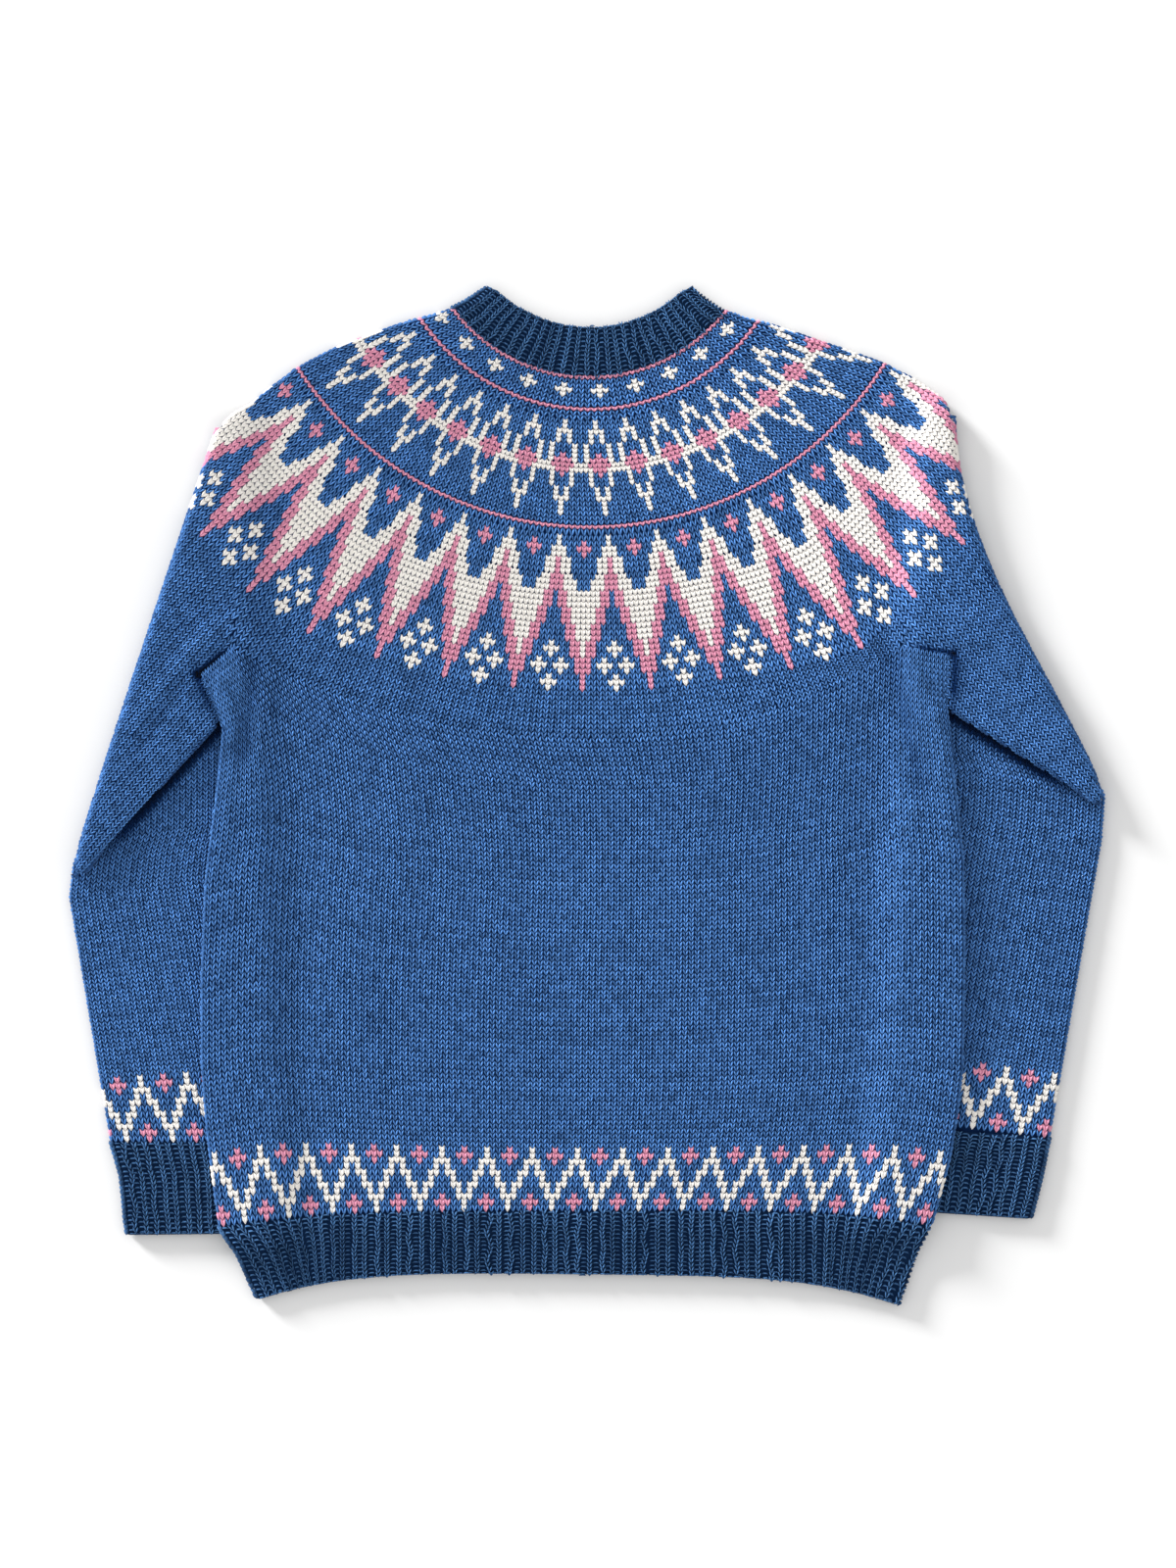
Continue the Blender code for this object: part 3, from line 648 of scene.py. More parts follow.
def yoke_fold(side):
    """The side fold of neckband and yoke, to the top of the elbow fold."""
    radii = np.linspace(NECK_TOP, SHOULDER_RADIUS, 60)
    angle = read(YOKE_ROUNDS, 0, radii, HALF_COLUMN[side]) - np.degrees(EDGE / radii)
    line = from_polar(-INWARD[side] * angle, radii, read(YOKE_ROUNDS, 0, radii, 1))
    amount = np.linspace(0, 1, 13)[1:, None]
    top = mix(line[-1], np.array(SLEEVES[side]["fold"][0]), amount)
    return fold_line(np.vstack([line, top + shoulder_bow(side, amount)]), side)


def shoulder_bow(side, amount):
    """How far the shoulder's outline bows out of the straight line from yoke to elbow fold."""
    start, fold = shoulder(side), SLEEVES[side]["fold"]
    angle = math.radians(read(YOKE_ROUNDS, 0, SHOULDER_RADIUS, HALF_COLUMN[side]))
    before = np.array([math.sin(angle) * -INWARD[side], -math.cos(angle)])
    after = unit(on_curve(fold, FOLD_BREAKS, np.array([0.01]))[0] - fold[0])
    run = fold[0] - start
    length = np.linalg.norm(run)
    return ((before * length - run) * amount * (1 - amount) ** 2
            - (after * length - run) * amount ** 2 * (1 - amount))


def upper_arm_fold(side):
    """Elbow fold and underarm fold as one line, with the corner at the elbow rounded."""
    curve = on_curve(SLEEVES[side]["fold"], FOLD_BREAKS, np.linspace(0, 1, 60))
    underarm = mix(curve[-1], np.array(SLEEVES[side]["underarm_edge"]),
                   np.linspace(0, 1, 40)[1:, None])
    line, _, _ = fold_line(np.vstack([curve, underarm]), side)
    reach = ELBOW_ROUNDING
    padded = np.vstack([line[:1] + (line[:1] - line[1:2]) * np.arange(reach, 0, -1)[:, None],
                        line,
                        line[-1:] + (line[-1:] - line[-2:-1]) * np.arange(1, reach + 1)[:, None]])
    weights = np.hanning(2 * reach + 3)[1:-1]
    weights /= weights.sum()
    line = np.stack([np.convolve(padded[:, axis], weights, "valid") for axis in (0, 1)], -1)
    share = np.arange(len(line)) / (len(line) - 1)
    corner = np.argmin(((line - curve[-1]) ** 2).sum(-1)) / (len(line) - 1)
    turned = smooth((share - corner + ELBOW_TURN) / (2 * ELBOW_TURN))
    return line, way_out(line, side), mix(FOLD_RADIUS + EDGE, EDGE, turned)


def body_fold(side):
    """The side fold of body and hem."""
    y_column = SIDE_COLUMN[side]
    return fold_line(BODY_SIDES[:, [y_column + 1, y_column]] + (INWARD[side] * EDGE, 0), side)


def forearm_outer(side):
    """Middle of the forearm's outer fold, from under the elbow fold down to the cuff."""
    sleeve = SLEEVES[side]
    end, before = on_curve(sleeve["fold"], FOLD_BREAKS, np.array([1.0, 0.98]))
    along = unit(end - before)
    elbow = end + INWARD[side] * FOLD_RADIUS * np.array([along[1], -along[0]])
    return np.array([elbow - along * 0.015, elbow, sleeve["below_fold"][1],
                     sleeve["cuff_top"][1]])


def forearm_fold(side):
    """The outer fold of forearm and cuff."""
    sleeve = SLEEVES[side]
    return fold_line([*forearm_outer(side), sleeve["cuff_middle"][1], sleeve["cuff_end"][1]],
                     side)


def nearest_fold(points, folds):
    """For each point, the place, way out and radius of the nearest fold, and how far past."""
    line, ways, radii = (np.concatenate(parts) for parts in zip(*folds))
    near = np.concatenate([
        np.argmin(((points[start:start + PART, None] - line[None]) ** 2).sum(-1), axis=1)
        for start in range(0, len(points), PART)])
    away = points - line[near]
    return away, ways[near], radii[near], (away * ways[near]).sum(-1)


def inside_folds(cells, folds):
    """True for stitches that are not turned under a fold."""
    _, _, radii, past = nearest_fold(cells.mean(1), folds)
    return past < radii * FOLD_REACH


def laid(points, height, middle, folds, upward=1.0):
    """Points of the plan in space: height is over the shell, and folds turn the cloth down."""
    flat = np.array(points, float)
    away, ways, radii, past = nearest_fold(flat, folds)
    over = (past > 0) & (np.linalg.norm(away, axis=-1) < FOLD_NEAR)
    radius = np.where(over, radii, EDGE)
    turn = np.where(over, past / radii, 0.0)
    out = np.where(over[:, None], ways, 0.0)
    flat = flat - out * (turn * radius)[:, None]
    reach = radius - SINK + height
    axis_height = middle + EDGE - radius
    place = np.empty((len(flat), 3))
    place[:, :2] = flat + out * (reach * np.sin(turn))[:, None] + PLAN_SHIFT
    # stitches on the table are pressed flat by it
    place[:, 2] = np.where(upward > 0, axis_height + reach * np.cos(turn), np.maximum(
        middle - EDGE + radius - reach * np.cos(turn), PRESSED))
    return place, turn


# ---------------------------------------------------------------- stitches
# a leg of a stitch from its foot to its top: place down and across, half width, height
LEG = (
    # v, u, half_width, height
    (1.12, 0.470, 0.000, 0.05),
    (0.74, 0.375, 0.165, 0.30),
    (0.20, 0.210, 0.190, 0.36),
    (-0.28, 0.060, 0.000, 0.08),
)
LOW_LEG = (
    # v, u, half_width, height
    (1.08, 0.470, 0.000, 0.02),
    (0.45, 0.270, 0.190, 0.32),
    (-0.20, 0.040, 0.000, 0.04),
)
PURL = (
    # u, v, half_width, height
    (-0.08, 0.70, 0.000, 0.00),
    (0.26, 0.42, 0.230, 0.30),
    (0.74, 0.42, 0.230, 0.30),
    (1.08, 0.70, 0.000, 0.00),
)
CROWN_SHADE, SIDE_SHADE, TIP_SHADE = 1.0, 0.0, 0.35


def strand(stations, flip):
    """Points and faces of one leg: tips at both ends and arcs of three points between."""
    points, faces, rings = [], [], []
    for index, (along, across, half, height) in enumerate(stations):
        v_share = index / (len(stations) - 1)
        if half == 0.0:
            rings.append([len(points)])
            points.append((across, along, height, TIP_SHADE, 0.5, v_share))
            continue
        rings.append([len(points) + i for i in range(3)])
        for step, (offset, level, shade) in enumerate(
                ((-1, 0.0, SIDE_SHADE), (0, 1.0, CROWN_SHADE), (1, 0.0, SIDE_SHADE))):
            points.append((across + offset * half, along, height * level, shade, step / 2,
                           v_share))
    for here, there in zip(rings, rings[1:]):
        for i in range(2):
            if len(here) == 1:
                faces.append((here[0], there[i + 1], there[i]))
            elif len(there) == 1:
                faces.append((here[i], here[i + 1], there[0]))
            else:
                faces.append((here[i], here[i + 1], there[i + 1], there[i]))
    points = np.array(points)
    if flip:
        points[:, 0] = 1 - points[:, 0]
        faces = [face[::-1] for face in faces]
    return points, faces


def template(*strands):
    """Several strands as one stitch, each with its own half of the stitch's bake square."""
    points, faces, halves = [], [], []
    for number, (own, own_faces) in enumerate(strands):
        first = sum(len(part) for part in points)
        points.append(own)
        halves.append(np.full(len(own), number / len(strands)))
        faces += [tuple(index + first for index in face) for face in own_faces]
    return np.vstack(points), faces, np.concatenate(halves), 1 / len(strands)


def turned_strand(stations):
    """A strand that lies across the stitch."""
    points, faces = strand(stations, False)
    points[:, [0, 1]] = points[:, [1, 0]]
    return points, [face[::-1] for face in faces]


KNIT = template(strand(LEG, False), strand(LEG, True))
LOW_KNIT = template(strand(LOW_LEG, False), strand(LOW_LEG, True))
PURL_BUMP = template(turned_strand(PURL))
# the wool seen between the legs of a stitch: across, down, height, shade, bake square
BEHIND = (np.array([(0.50, 1.08, 0.04, 0.4, 0.5, 1.0), (0.50, 0.12, 0.04, 0.4, 0.5, 0.2),
                    (0.02, -0.18, 0.04, 0.4, 0.0, 0.0), (0.05, 0.50, 0.04, 0.4, 0.1, 0.5),
                    (0.98, -0.18, 0.04, 0.4, 1.0, 0.0), (0.95, 0.50, 0.04, 0.4, 0.9, 0.5)]),
          [(0, 1, 2, 3), (0, 5, 4, 1)], np.zeros(6), 1.0)


def cells_of(place, columns, rows):
    """Corners on the plan of a grid of stitches, row by row, and their numbers."""
    column, row = np.meshgrid(np.asarray(columns, float), np.asarray(rows, float))
    corners = [place(column + right, row + low) for low in (0, 1) for right in (0, 1)]
    return grid_of(corners, column, row)


def grid_of(corners, column, row):
    """One row of corners and one of numbers for each stitch."""
    return np.stack([corner.reshape(-1, 2) for corner in corners], 1), \
        np.stack([column.ravel(), row.ravel()], -1)


def mirrored_cells(cells):
    """The same stitches with their left and right corners changed over."""
    return cells[:, [1, 0, 3, 2]]


def stitch_mesh(name, stitch, cells, numbers, yarn, middle_of, folds, seed,
                upward=1.0, raised=0.0, light=1.0, shaded=None):
    """One mesh of many stitches, laid on the shell."""
    shape, faces, halves, half_width = stitch
    random = np.random.default_rng(seed)
    count, size = len(cells), len(shape)
    u, v = shape[:, 0], shape[:, 1]
    weights = np.stack([(1 - u) * (1 - v), u * (1 - v), (1 - u) * v, u * v], -1)
    flat = np.einsum("kc,ncd->nkd", weights, cells)
    wide = np.linalg.norm(cells[:, 1] - cells[:, 0], axis=-1)
    flat += random.normal(0, STRAY, (count, 1, 2)) * wide[:, None, None]
    swell = random.normal(1.0, SWELL, count)
    height = shape[None, :, 2] * (wide * swell)[:, None] + raised * (shape[:, 2] > 0)
    middle = middle_of(flat[..., 0], flat[..., 1])
    points, turn = laid(flat.reshape(-1, 2), height.ravel(), middle.ravel(), folds, upward)
    turn = turn.reshape(count, size).mean(1)
    light = (light * (1 - EDGE_SHADE * smooth((turn - 0.5) / 0.8)))[:, None]
    if shaded is not None:
        light = light * (1 + creases(shaded, flat[..., 0], flat[..., 1]))
    keep = turn < (LAST_TURN if upward > 0 else LAST_UNDER_TURN)
    light = np.broadcast_to(light, (count, size))[keep]
    numbers, yarn = numbers[keep], yarn[keep]
    count = len(numbers)
    mesh = bpy.data.meshes.new(name)
    fill_mesh(mesh, points.reshape(-1, size, 3)[keep].reshape(-1, 3),
              faces if upward > 0 else [face[::-1] for face in faces], size, count)
    point_values(mesh, "tone_and_leg_light", stitch_tones(random, numbers, halves))
    # only light is shared out over the stitch's own shape: darkness covers all of it
    point_values(mesh, "shade", np.where(light > 0, light * shape[:, 3], light).ravel())
    corners = face_corners(faces, size, count)
    for layer, values in zip(("strand", "OFBake"),
                             stitch_squares(random, numbers, shape, halves, half_width)):
        mesh.uv_layers.new(name=layer).data.foreach_set(
            "uv", values[corners].astype(np.float32).ravel())
    mesh.polygons.foreach_set("material_index", np.repeat(yarn, len(faces)).astype(np.int32))
    mesh.update()
    return placed(name, mesh)


def stitch_tones(random, numbers, halves):
    """A tone for each point: stitches, strands and rounds differ a little; right legs get painted
    light.
    """
    strands = np.unique(halves)
    tone_and_leg_light = (random.normal(0.5, STITCH_TONE, (len(numbers), 1))
            + random.normal(0, STRAND_TONE, (len(numbers), len(strands))))
    rounds = {value: random.normal(0.0, ROUND_TONE) for value in np.unique(numbers[:, 1])}
    tone_and_leg_light += np.array([rounds[value] for value in numbers[:, 1]])[:, None]
    # painted light: right legs are made paler and left legs darker
    tone_and_leg_light += (strands - strands.mean()) * LEG_PAINTED_LIGHT
    return np.clip(tone_and_leg_light[:, np.searchsorted(strands, halves)].ravel(), 0, 1)


def stitch_squares(random, numbers, shape, halves, half_width):
    """Two UVs for each point: its place along its strand, and in its own square of a bake."""
    count, size = len(numbers), len(shape)
    across, along = shape[:, 4], shape[:, 5]
    strand_uv = np.stack([np.tile(across, count),
                          np.tile(along * 3.0, count) + np.repeat(random.random(count) * 9, size)],
                         -1)
    low, span = numbers.min(0), np.ptp(numbers, axis=0) + 1
    square = (numbers - low)[:, None, :] + np.stack(
        [halves + half_width * (0.06 + 0.88 * across), 0.04 + 0.92 * along], -1)
    return strand_uv, (square / span).reshape(-1, 2)


def face_corners(faces, size, count):
    """For each corner of the repeated faces, the number of its point."""
    own = np.concatenate([np.array(face) for face in faces])
    return (own[None] + np.arange(count)[:, None] * size).ravel()


def fill_mesh(mesh, points, faces, size, count):
    """Repeat one stitch's faces for all the stitches."""
    corners = face_corners(faces, size, count)
    lengths = np.tile([len(face) for face in faces], count)
    mesh.vertices.add(len(points))
    mesh.vertices.foreach_set("co", points.astype(np.float32).ravel())
    mesh.loops.add(len(corners))
    mesh.loops.foreach_set("vertex_index", corners.astype(np.int32))
    mesh.polygons.add(len(lengths))
    mesh.polygons.foreach_set(
        "loop_start", np.concatenate([[0], np.cumsum(lengths)[:-1]]).astype(np.int32))
    mesh.polygons.foreach_set("use_smooth", np.ones(len(lengths), bool))
    mesh.update(calc_edges=True)


def behind(name, cells, numbers, yarn, *rest, **options):
    """The patterned stitches' own yarn as it shows in their gaps."""
    keep = yarn > 0
    return wear(stitch_mesh(name, BEHIND, cells[keep], numbers[keep], yarn[keep], *rest,
                            **options), *YARN_SET)


def chart_yarn(rows, row, stitch):
    """Yarn number of stitches in a repeated chart, 0 past its rows."""
    row, stitch = row.astype(int), stitch.astype(int)
    table = np.array([[YARNS.index(letter) for letter in line] for line in rows])
    inside = (row >= 0) & (row < len(table))
    found = table[np.clip(row, 0, len(table) - 1), stitch % table.shape[1]]
    return np.where(inside, found, 0)


# ---------------------------------------------------------------- materials
COLOUR, NUMBER = "NodeSocketColor", "NodeSocketFloat"


def node_group(name, inputs, output, output_kind):
    """An empty shader group with named inputs and one output."""
    group = bpy.data.node_groups.new(name, "ShaderNodeTree")
    for label, kind, value in inputs:
        socket = group.interface.new_socket(label, in_out="INPUT", socket_type=kind)
        socket.default_value = value
    group.interface.new_socket(output, in_out="OUTPUT", socket_type=output_kind)
    return group, group.nodes.new("NodeGroupInput").outputs, group.nodes.new("NodeGroupOutput")


def add_node(tree, kind, sockets=(), **settings):
    """A node with its settings; a socket is given a value or linked to another's output."""
    node = tree.nodes.new(kind)
    for label, value in settings.items():
        setattr(node, label, value)
    for socket, source in sockets:
        if isinstance(source, bpy.types.NodeSocket):
            tree.links.new(source, node.inputs[socket])
        else:
            node.inputs[socket].default_value = source
    return node


def noise(tree, scale, detail):
    """Noise that is fixed to the object, so many cells to the metre."""
    place = add_node(tree, "ShaderNodeTexCoord").outputs["Object"]
    return add_node(tree, "ShaderNodeTexNoise", (
        ("Scale", scale), ("Detail", detail), ("Vector", place))).outputs["Fac"]


def spread(tree, value, low, high, bottom, top):
    """A value between low and high, spread between bottom and top."""
    return add_node(tree, "ShaderNodeMapRange", (
        (0, value), (1, low), (2, high), (3, bottom), (4, top))).outputs[0]


def worked_out(tree, operation, first, second):
    """Two values added, multiplied and so on."""
    return add_node(tree, "ShaderNodeMath", ((0, first), (1, second)),
                    operation=operation).outputs[0]


def blended(tree, amount, first, second):
    """An amount of the second colour over the first."""
    return add_node(tree, "ShaderNodeMix", ((0, amount), (6, first), (7, second)),
                    data_type="RGBA").outputs[2]


def lit(tree, colour, amount):
    """A colour made lighter or darker."""
    return add_node(tree, "ShaderNodeVectorMath", ((0, colour), ("Scale", amount)),
                    operation="SCALE").outputs[0]


def wool_colour_group():
    """Heathered wool: flecks of light and dark fibre, a tone per stitch, painted light and shade.
    """
    group, given, made = node_group("Heathered wool", (
        ("Wool", COLOUR, (0.1, 0.2, 0.4, 1)), ("Light fibre", COLOUR, (0.3, 0.45, 0.7, 1)),
        ("Dark fibre", COLOUR, (0.02, 0.05, 0.1, 1)), ("Gap shade", COLOUR, (0.01, 0.02, 0.05, 1)),
        ("Flecks", NUMBER, 0.5), ("Unevenness and leg light", NUMBER, 0.3), ("Depth", NUMBER, 1.0)),
        "Colour", COLOUR)
    tone_and_leg_light, shade = (add_node(group, "ShaderNodeAttribute", attribute_name=label).outputs["Fac"]
                   for label in ("tone_and_leg_light", "shade"))
    light = worked_out(group, "MULTIPLY", spread(group, noise(group, 1400, 3), 0.56, 0.70, 0, 1),
                       given["Flecks"])
    dark = worked_out(group, "MULTIPLY", spread(group, noise(group, 900, 3), 0.55, 0.72, 0, 1),
                      given["Flecks"])
    colour = blended(group, light, given["Wool"], given["Light fibre"])
    colour = blended(group, dark, colour, given["Dark fibre"])
    # painted light: the tone carries the right legs' painted light as well as random unevenness
    uneven_and_leg_light = worked_out(group, "MULTIPLY", spread(group, tone_and_leg_light, 0, 1, -1, 1),
                        given["Unevenness and leg light"])
    colour = lit(group, colour, worked_out(group, "ADD", uneven_and_leg_light, 1.0))
    # painted shade: each strand's colour goes towards its gap shade where its shade attribute is
    # low
    painted_light_share = worked_out(group, "POWER", spread(group, shade, 0, 1, 0, 1), given["Depth"])
    colour = blended(group, painted_light_share, given["Gap shade"], colour)
    # a shade under zero is a place that no light reaches
    colour = lit(group, colour, spread(group, shade, -0.6, 0, 0.05, 1))
    group.links.new(colour, made.inputs["Colour"])
    return group


def spun_fibre_group():
    """Relief of spun wool: the twist of the plies along a strand and loose fibres on it."""
    group, given, made = node_group("Spun fibre", (
        ("Twist", NUMBER, 1.0), ("Fibres", NUMBER, 0.6)), "Height", NUMBER)
    along = add_node(group, "ShaderNodeUVMap", uv_map="strand").outputs[0]
    wave = add_node(group, "ShaderNodeTexWave", (
        ("Scale", 1.6), ("Distortion", 1.2), ("Vector", along)), bands_direction="DIAGONAL")
    twist = worked_out(group, "MULTIPLY", wave.outputs["Fac"], given["Twist"])
    hairs = worked_out(group, "MULTIPLY", noise(group, 3200, 2), given["Fibres"])
    group.links.new(worked_out(group, "ADD", twist, hairs), made.inputs["Height"])
    return group


def wool_material(name, wool, light, dark, gap_shade, flecks, unevenness_and_leg_light, shade_depth, sheen):
    """One yarn."""
    material = bpy.data.materials.new(name)
    material.use_nodes = True
    tree = material.node_tree
    shader = tree.nodes["Principled BSDF"]
    for label, value in (("Roughness", 0.92), ("Specular IOR Level", 0.08),
                         ("Sheen Weight", sheen), ("Sheen Roughness", 0.55)):
        shader.inputs[label].default_value = value
    colour = add_node(tree, "ShaderNodeGroup", (
        ("Wool", (*wool, 1)), ("Light fibre", (*light, 1)), ("Dark fibre", (*dark, 1)),
        ("Gap shade", (*gap_shade, 1)), ("Flecks", flecks), ("Unevenness and leg light", unevenness_and_leg_light),
        ("Depth", shade_depth)), node_tree=WOOL_GROUP)
    relief = add_node(tree, "ShaderNodeGroup", node_tree=FIBRE_GROUP)
    bump = add_node(tree, "ShaderNodeBump", (
        ("Strength", 0.5), ("Distance", 0.0003), ("Height", relief.outputs["Height"])))
    tree.links.new(colour.outputs["Colour"], shader.inputs["Base Color"])
    tree.links.new(bump.outputs["Normal"], shader.inputs["Normal"])
    return material


# ---------------------------------------------------------------- shells
EDGE_STEPS, ROLL_STEPS = 6, 10      # steps round a side fold and round the elbow fold


def shell_ring(row, start_faces, end_faces, table=BODY_CREASES):
    """A ring of a shell: its middle points on top and under, and where its folds face."""
    row = np.asarray(row, float)
    height = floor_under(row[:, 0], row[:, 1]) + EDGE
    added = creases(table, row[:, 0], row[:, 1])
    return {"top": np.column_stack([row, height + added]), "under": np.column_stack([row, height]),
            "up": np.tile([0, 0, 1.0], (len(row), 1)),
            "start": np.append(start_faces, 0.0), "end": np.append(end_faces, 0.0)}


def shell_loop(ring, radius):
    """Points of a ring at a radius: over the top, round one fold, under and round the other."""
    loop = list(ring["top"] + ring["up"] * radius)
    for end, faces in ((-1, ring["end"]), (0, ring["start"])):
        middle, up = ring["top"][end], ring["up"][end]
        for step in range(1, EDGE_STEPS):
            turn = math.pi * step / EDGE_STEPS
            if end == 0:
                turn = math.pi - turn
            loop.append(middle + faces * (radius * math.sin(turn))
                        + up * (radius * math.cos(turn)))
        if end == -1:
            loop += list((ring["under"] - ring["up"] * radius)[::-1])
    return loop


def shell(name, rings, material):
    """The cloth of one tube: a closed wall lofted through its rings."""
    mesh = bmesh.new()
    bake = mesh.loops.layers.uv.new("OFBake")
    walls = []
    for radius in (EDGE - SINK - SHELL_SINK, EDGE - WALL):
        walls.append([[mesh.verts.new(Vector(point) + Vector((*PLAN_SHIFT, 0)))
                       for point in shell_loop(ring, radius)] for ring in rings])
    outer, inner = walls
    count, last = len(outer[0]), len(rings) - 1
    for level, wall in enumerate(walls):
        for r in range(last):
            for i in range(count):
                j = (i + 1) % count
                face = mesh.faces.new((wall[r][i], wall[r][j], wall[r + 1][j], wall[r + 1][i]))
                for loop, (a, b) in zip(face.loops, ((i, r), (i + 1, r), (i + 1, r + 1),
                                                     (i, r + 1))):
                    loop[bake].uv = (a / count, (level + 0.02 + 0.9 * b / last) * 0.5)
    for end, base in ((0, 0.47), (-1, 0.97)):
        for i in range(count):
            j = (i + 1) % count
            face = mesh.faces.new((outer[end][i], outer[end][j], inner[end][j],
                                   inner[end][i]))
            for loop, (a, b) in zip(face.loops, ((i, 0), (i + 1, 0), (i + 1, 1), (i, 1))):
                loop[bake].uv = (a / count, base + 0.015 * b)
    bmesh.ops.recalc_face_normals(mesh, faces=mesh.faces)
    data = bpy.data.meshes.new(name)
    mesh.to_mesh(data)
    mesh.free()
    data.shade_smooth()
    for label in ("tone_and_leg_light", "shade"):
        point_values(data, label, np.full(len(data.vertices), 0.5))
    data.uv_layers.new(name="strand")
    data.materials.append(material)
    return placed(name, data)


def round_faces(radius):
    """The ways that the two side folds face on a round of the yoke."""
    left = math.radians(read(YOKE_ROUNDS, 0, radius, 2))
    right = math.radians(read(YOKE_ROUNDS, 0, radius, 3))
    return (np.array([-math.cos(left), math.sin(left)]),
            np.array([math.cos(right), math.sin(right)]))


def round_point(radius, share):
    """Place on a round of the yoke, by the share from the middle to a side fold."""
    half = np.where(share < 0, read(YOKE_ROUNDS, 0, radius, 2), read(YOKE_ROUNDS, 0, radius, 3))
    angle = share * (half - np.degrees(EDGE / radius))
    return from_polar(angle, radius, read(YOKE_ROUNDS, 0, radius, 1))


def shoulder(side):
    """Where the last round of the yoke meets its side fold."""
    return round_point(SHOULDER_RADIUS, -INWARD[side])


def neck_shell():
    """The cloth of the neckband."""
    share = np.linspace(-1, 1, 81)
    rings = []
    for down in np.linspace(0, 1, 7):
        radius = mix(neck_top(share), NECK_BASE - SEAM, down)
        rings.append(shell_ring(round_point(radius, share), *round_faces(radius[0])))
    return shell("neckband_cloth", rings, SHADED_RIB_GROUND)


def yoke_shell():
    """The cloth of the yoke, from the neckband to armholes and body."""
    arm = np.linspace(0, 1, 37)
    left = mix(shoulder("left"), np.array(UNDERARM["left"]), arm[:-1, None])
    right = mix(np.array(UNDERARM["right"]), shoulder("right"), arm[1:, None])
    angles = np.linspace(UNDERARM_POLAR["left"][0], UNDERARM_POLAR["right"][0], 61)
    outline = np.vstack([left, from_polar(angles, join_radius(angles)), right])
    angle, radius = outer_polar(outline)
    share = np.where(angle < 0, angle / abs(angle[0]), angle / angle[-1])
    inward = unit(np.array([CENTRE_X, OUTER_CENTRE_Y]) - outline)
    rings = []
    for amount in np.linspace(0, 1, 49):
        row = round_point(mix(NECK_BASE, radius - SEAM, amount), share)
        if amount == 1.0:
            row = outline + inward * SEAM
        reach = min(mix(NECK_BASE, radius[0], amount), SHOULDER_RADIUS)
        rings.append(shell_ring(row, *round_faces(reach)))
    return shell("yoke_cloth", rings, SHADED_GROUND)


def body_shell():
    """The cloth of the body, tucks and plain knitting to the top of the rib."""
    across = np.concatenate([np.linspace(0, 0.2, 22), np.linspace(0.2, 0.8, 31)[1:],
                             np.linspace(0.8, 1, 22)[1:]])
    left, right = UNDERARM_POLAR["left"][0], UNDERARM_POLAR["right"][0]
    angle = mix(left, right, across)
    top = from_polar(angle, join_radius(angle) + SEAM)
    part = np.linspace(0, 1, 8)[:-1, None]
    ends = [np.array(TUCK[side]) + (inward * EDGE, -SEAM)
            for side, inward in INWARD.items()]
    first = np.vstack([mix(ends[0], top[0], part), top, mix(ends[1], top[-1], part)[::-1]])
    share = (first[:, 0] - first[0, 0]) / (first[-1, 0] - first[0, 0])
    chord = mix(first[0, 1], first[-1, 1], share)
    rings = []
    for down in np.concatenate([[0], np.linspace(0.02, 1, 36)]):
        left_x, left_y, right_x, right_y = body_line(down, 0, RIB_TOP_ROW)
        sag = mix(first[:, 1] - chord, rib_rise(share, RIB_TOP_RISE), down)
        row = np.stack([mix(left_x, right_x, share), mix(left_y, right_y, share) + sag], -1)
        rings.append(shell_ring(first if down == 0 else row, facing(180), facing(0)))
    return shell("body_cloth", rings, SHADED_GROUND)


def hem_shell():
    """The cloth of the hem rib."""
    share = np.linspace(0, 1, 65)
    rings = []
    for down in np.linspace(0, 1, 7):
        left_x, left_y, right_x, right_y = body_line(down, RIB_TOP_ROW, HEM_ROW)
        lift = mix(rib_rise(share, RIB_TOP_RISE), rib_rise(share, HEM_RISE), down)
        gap = SEAM if down == 0 else 0.0
        row = np.stack([mix(left_x, right_x, share),
                        mix(left_y, right_y, share) + lift - gap], -1)
        rings.append(shell_ring(row, facing(190), facing(-10)))
    return shell("hem_cloth", rings, SHADED_RIB_GROUND)


def sleeve_shell(side):
    """The cloth of a sleeve: upper arm, the turn over the elbow fold, and forearm."""
    plan = SLEEVES[side]
    share = np.linspace(0, 1, 49)
    corners = (shoulder(side), UNDERARM[side], TUCK[side], plan["underarm_edge"])
    start = polyline(corners, START_BREAKS, share) + (-INWARD[side] * 2 * SEAM, 0)
    fold = on_curve(plan["fold"], FOLD_BREAKS, share)
    near = np.maximum(0.0, 1 - share / START_BREAKS[1])
    rings = []
    for amount in np.linspace(0, 1, 25):
        row = mix(start, fold, amount) + shoulder_bow(side, amount) * near[:, None]
        rings.append(shell_ring(
            row, facing(mix(plan["shoulder_faces"], plan["fold_top_faces"], amount)),
            facing(mix(plan["underarm_faces"], plan["fold_end_faces"], amount)),
            SLEEVE_CREASES))
    rings += rolled_rings(plan, fold, share, side)
    rings += forearm_rings(plan, rings[-1], share, side)
    return shell("sleeve_%s_cloth" % side, rings, SHADED_GROUND)


